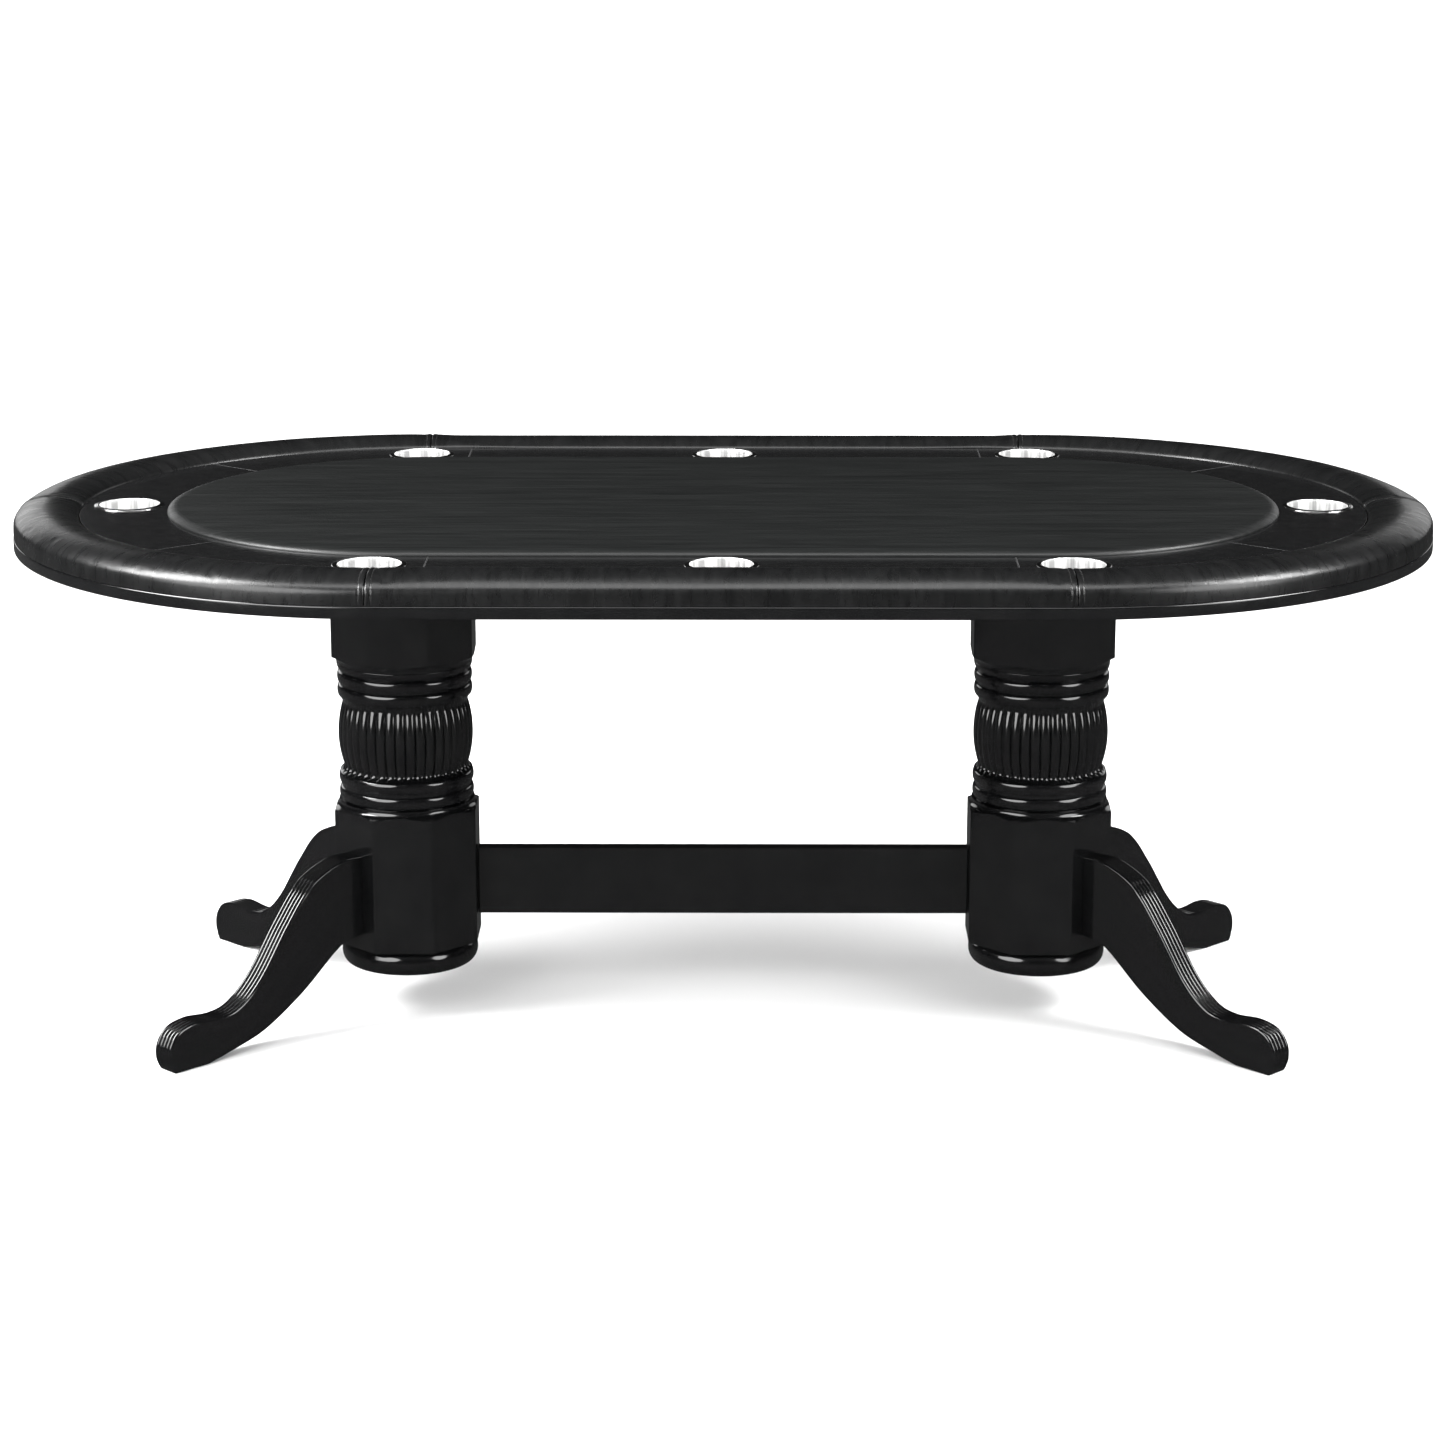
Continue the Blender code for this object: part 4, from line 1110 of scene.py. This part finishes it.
def add_leg(name, angle, mats):
    """Cabriole board with reeds along its top edge and toe."""
    line, inward, fade = leg_line()
    half = LEG_T / 2
    reed_w = LEG_T / REEDS
    sway = np.sin(np.linspace(-1, 1, REED_STEPS + 1) * np.pi / 2)
    middles = (np.arange(REEDS) + 0.5) * reed_w - half
    across = np.append(middles[:, None] + sway[:-1] * reed_w / 2, half)
    sink = REED_DEPTH * (1 - np.sqrt(1 - 0.95 * sway**2))
    dip = np.append(np.tile(sink[:-1], REEDS), sink[-1])
    over_edge = np.maximum(0, LEG_EDGE_R - half + np.abs(across))
    round_off = LEG_EDGE_R - np.sqrt(np.maximum(0, LEG_EDGE_R**2 - over_edge**2))
    depth = np.maximum(fade[:, None] * dip[None], round_off[None])
    r = line[:, :1] + inward[:, :1] * depth
    z = line[:, 1:] + inward[:, 1:] * depth
    block_low, block_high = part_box("lower_block_left" if "left" in name else "lower_block_right")
    x0 = (block_low.x + block_high.x) / 2
    cos, sin = math.cos(math.radians(angle)), math.sin(math.radians(angle))
    points = np.empty((*r.shape, 3))
    points[..., 0] = x0 + r * cos - across[None] * sin
    points[..., 1] = r * sin + across[None] * cos
    points[..., 2] = z
    uv = np.empty((*r.shape, 2))
    uv[..., 0] = along(line)[:, None]
    uv[..., 1] = across[None]
    leg = add_grid(f"cabriole_leg_{name}", points, mats["wood_uv"], True, False,
                   ("first_column", "last_column"), uv, 44)
    merge_poles(leg)
    flatten(leg)
    stand_for(leg, f"leg_{name}")


# ---------------------------------------------------------------- camera and studio


def add_world():
    """White behind the table, and dark surroundings in its gloss: paler low down and towards the front."""
    world = bpy.data.worlds.new("studio")
    bpy.context.scene.world = world
    t = Tree(world)
    direction = t.add("ShaderNodeTexCoord").outputs["Generated"]
    split = t.add("ShaderNodeSeparateXYZ")
    t.link(direction, split.inputs[0])
    ramp = t.add("ShaderNodeValToRGB")
    t.link(t.spread(split.outputs["Z"], 0.0, 1.0, -1.0, 1.0), ramp.inputs["Fac"])
    for position, _ in WORLD_LEVELS[1:-1]:
        ramp.color_ramp.elements.new(position)
    for element, (position, level) in zip(ramp.color_ramp.elements, WORLD_LEVELS):
        element.position = position
        element.color = (level, level, level, 1.0)
    turn = t.add("ShaderNodeVectorMath", operation="DOT_PRODUCT")
    turn.inputs[1].default_value = WORLD_FRONT
    t.link(direction, turn.inputs[0])
    around = t.add("ShaderNodeFloatCurve")
    points = around.mapping.curves[0].points
    points[0].location, points[1].location = WORLD_TURN[0], WORLD_TURN[-1]
    for place in WORLD_TURN[1:-1]:
        points.new(*place)
    around.mapping.update()
    t.link(t.spread(turn.outputs["Value"], 0.0, 1.0, -1.0, 1.0), around.inputs["Value"])
    strength = t.add("ShaderNodeMath", operation="MULTIPLY")
    strength.inputs[1].default_value = WORLD_STRENGTH
    t.link(around.outputs["Value"], strength.inputs[0])
    surroundings = t.tree.nodes["Background"]
    t.link(ramp.outputs["Color"], surroundings.inputs["Color"])
    t.link(strength.outputs["Value"], surroundings.inputs["Strength"])
    backdrop = t.add("ShaderNodeBackground", Color=(1.0, 1.0, 1.0, 1.0))
    chooser = t.add("ShaderNodeMixShader")
    t.link(t.add("ShaderNodeLightPath").outputs["Is Camera Ray"], chooser.inputs["Fac"])
    t.link(surroundings.outputs["Background"], chooser.inputs[1])
    t.link(backdrop.outputs["Background"], chooser.inputs[2])
    t.link(chooser.outputs["Shader"], t.tree.nodes["World Output"].inputs["Surface"])


def add_floor():
    """Pale seamless floor, which the gloss doesn't mirror."""
    n = Nodes("studio_floor", (0.86, 0.86, 0.86), 0.9, specular=0.0)
    speckle = n.noise(n.place([3.0] * 3), 3.0)
    material = n.done(n.blend(speckle, (0.855, 0.855, 0.855), (0.865, 0.865, 0.865)))
    verts = [(-FLOOR_REACH, -FLOOR_REACH, 0), (FLOOR_REACH, -FLOOR_REACH, 0),
             (FLOOR_REACH, FLOOR_REACH, 0), (-FLOOR_REACH, FLOOR_REACH, 0)]
    floor = add_mesh("floor", verts, [(0, 1, 2, 3)], material)
    floor.visible_glossy = False


def add_lamp(name, kind, energy):
    lamp = bpy.data.objects.new(name, bpy.data.lights.new(name, kind))
    bpy.context.scene.collection.objects.link(lamp)
    lamp.data.energy = energy
    return lamp


def add_lights():
    """Wide even light for the floor, and soft boxes that draw the highlights."""
    for k, (tilt, turn) in enumerate(SKY_TURNS):
        lamp = add_lamp(f"sky_{k}", "SUN", SKY_ENERGY)
        lamp.data.angle = SKY_SPREAD
        lamp.rotation_euler = Euler((math.radians(tilt), 0, math.radians(turn)))
        lamp.visible_glossy = False
    for name, (place, target, size, energy) in SOFT_BOXES.items():
        lamp = add_lamp(name, "AREA", energy)
        lamp.data.shape = "ELLIPSE"
        lamp.data.size, lamp.data.size_y = size
        lamp.location = place
        lamp.rotation_euler = (Vector(target) - Vector(place)).to_track_quat("-Z", "Y").to_euler()


def add_camera():
    camera = bpy.data.cameras.new("camera")
    camera.sensor_width = SENSOR
    camera.lens = CAMERA_LENS
    camera.clip_end = 300
    seat = bpy.data.objects.new("camera", camera)
    bpy.context.scene.collection.objects.link(seat)
    seat.location = CAMERA_PLACE
    seat.rotation_euler = (math.pi / 2 - CAMERA_PITCH, 0, CAMERA_YAW)
    bpy.context.scene.camera = seat


# ---------------------------------------------------------------- assembly


KEPT_NODES = {
    "board": ("racetrack_deck", "rail_core_ring", "playing_board"),
    "painted": ("base_board", "batten_front", "batten_back"),
    "wood_x": ("stretcher", "top_plate_left", "top_plate_right"),
    "zinc": ("tie_rod_left", "tie_rod_right", "leg_bolt_front_left", "leg_bolt_front_right",
             "leg_bolt_back_left", "leg_bolt_back_right"),
    "nylon": ("levelling_glide_front_left", "levelling_glide_front_right",
              "levelling_glide_back_left", "levelling_glide_back_right"),
}


def build():
    add_camera()
    mats = make_materials()
    for index, (name, run) in enumerate(RAIL_RUNS.items()):
        add_rail_pad(index, name, run, mats)
    add_rim_bands(mats)
    cups = {}
    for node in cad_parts:
        if node.startswith("cup_holder_"):
            low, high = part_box(node)
            cups[node.removeprefix("cup_holder_")] = ((low.x + high.x) / 2, (low.y + high.y) / 2)
    add_racetrack(mats, cups)
    add_playing_surface(mats)
    for name, centre in sorted(cups.items()):
        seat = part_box(f"cup_holder_{name}")[1].z - CUP_LIP
        add_cup(name, centre, seat, mats)
    for side in ("left", "right"):
        low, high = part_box(f"turned_column_{side}")
        x = (low.x + high.x) / 2
        add_column(side, x, mats)
        add_block(f"octagon_top_{side}", f"upper_block_{side}", x, False, mats)
        add_block(f"octagon_base_{side}", f"lower_block_{side}", x, True, mats)
        add_disc(side, x, mats)
    for name, angle in LEG_ANGLES.items():
        add_leg(name, angle, mats)
    for kind, nodes in KEPT_NODES.items():
        for node in nodes:
            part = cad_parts[node].data
            part.materials.clear()
            part.materials.append(mats[kind])
    add_world()
    add_floor()
    add_lights()
    settings = bpy.context.scene.view_settings
    settings.view_transform = "Standard"
    settings.look = "None"


build()
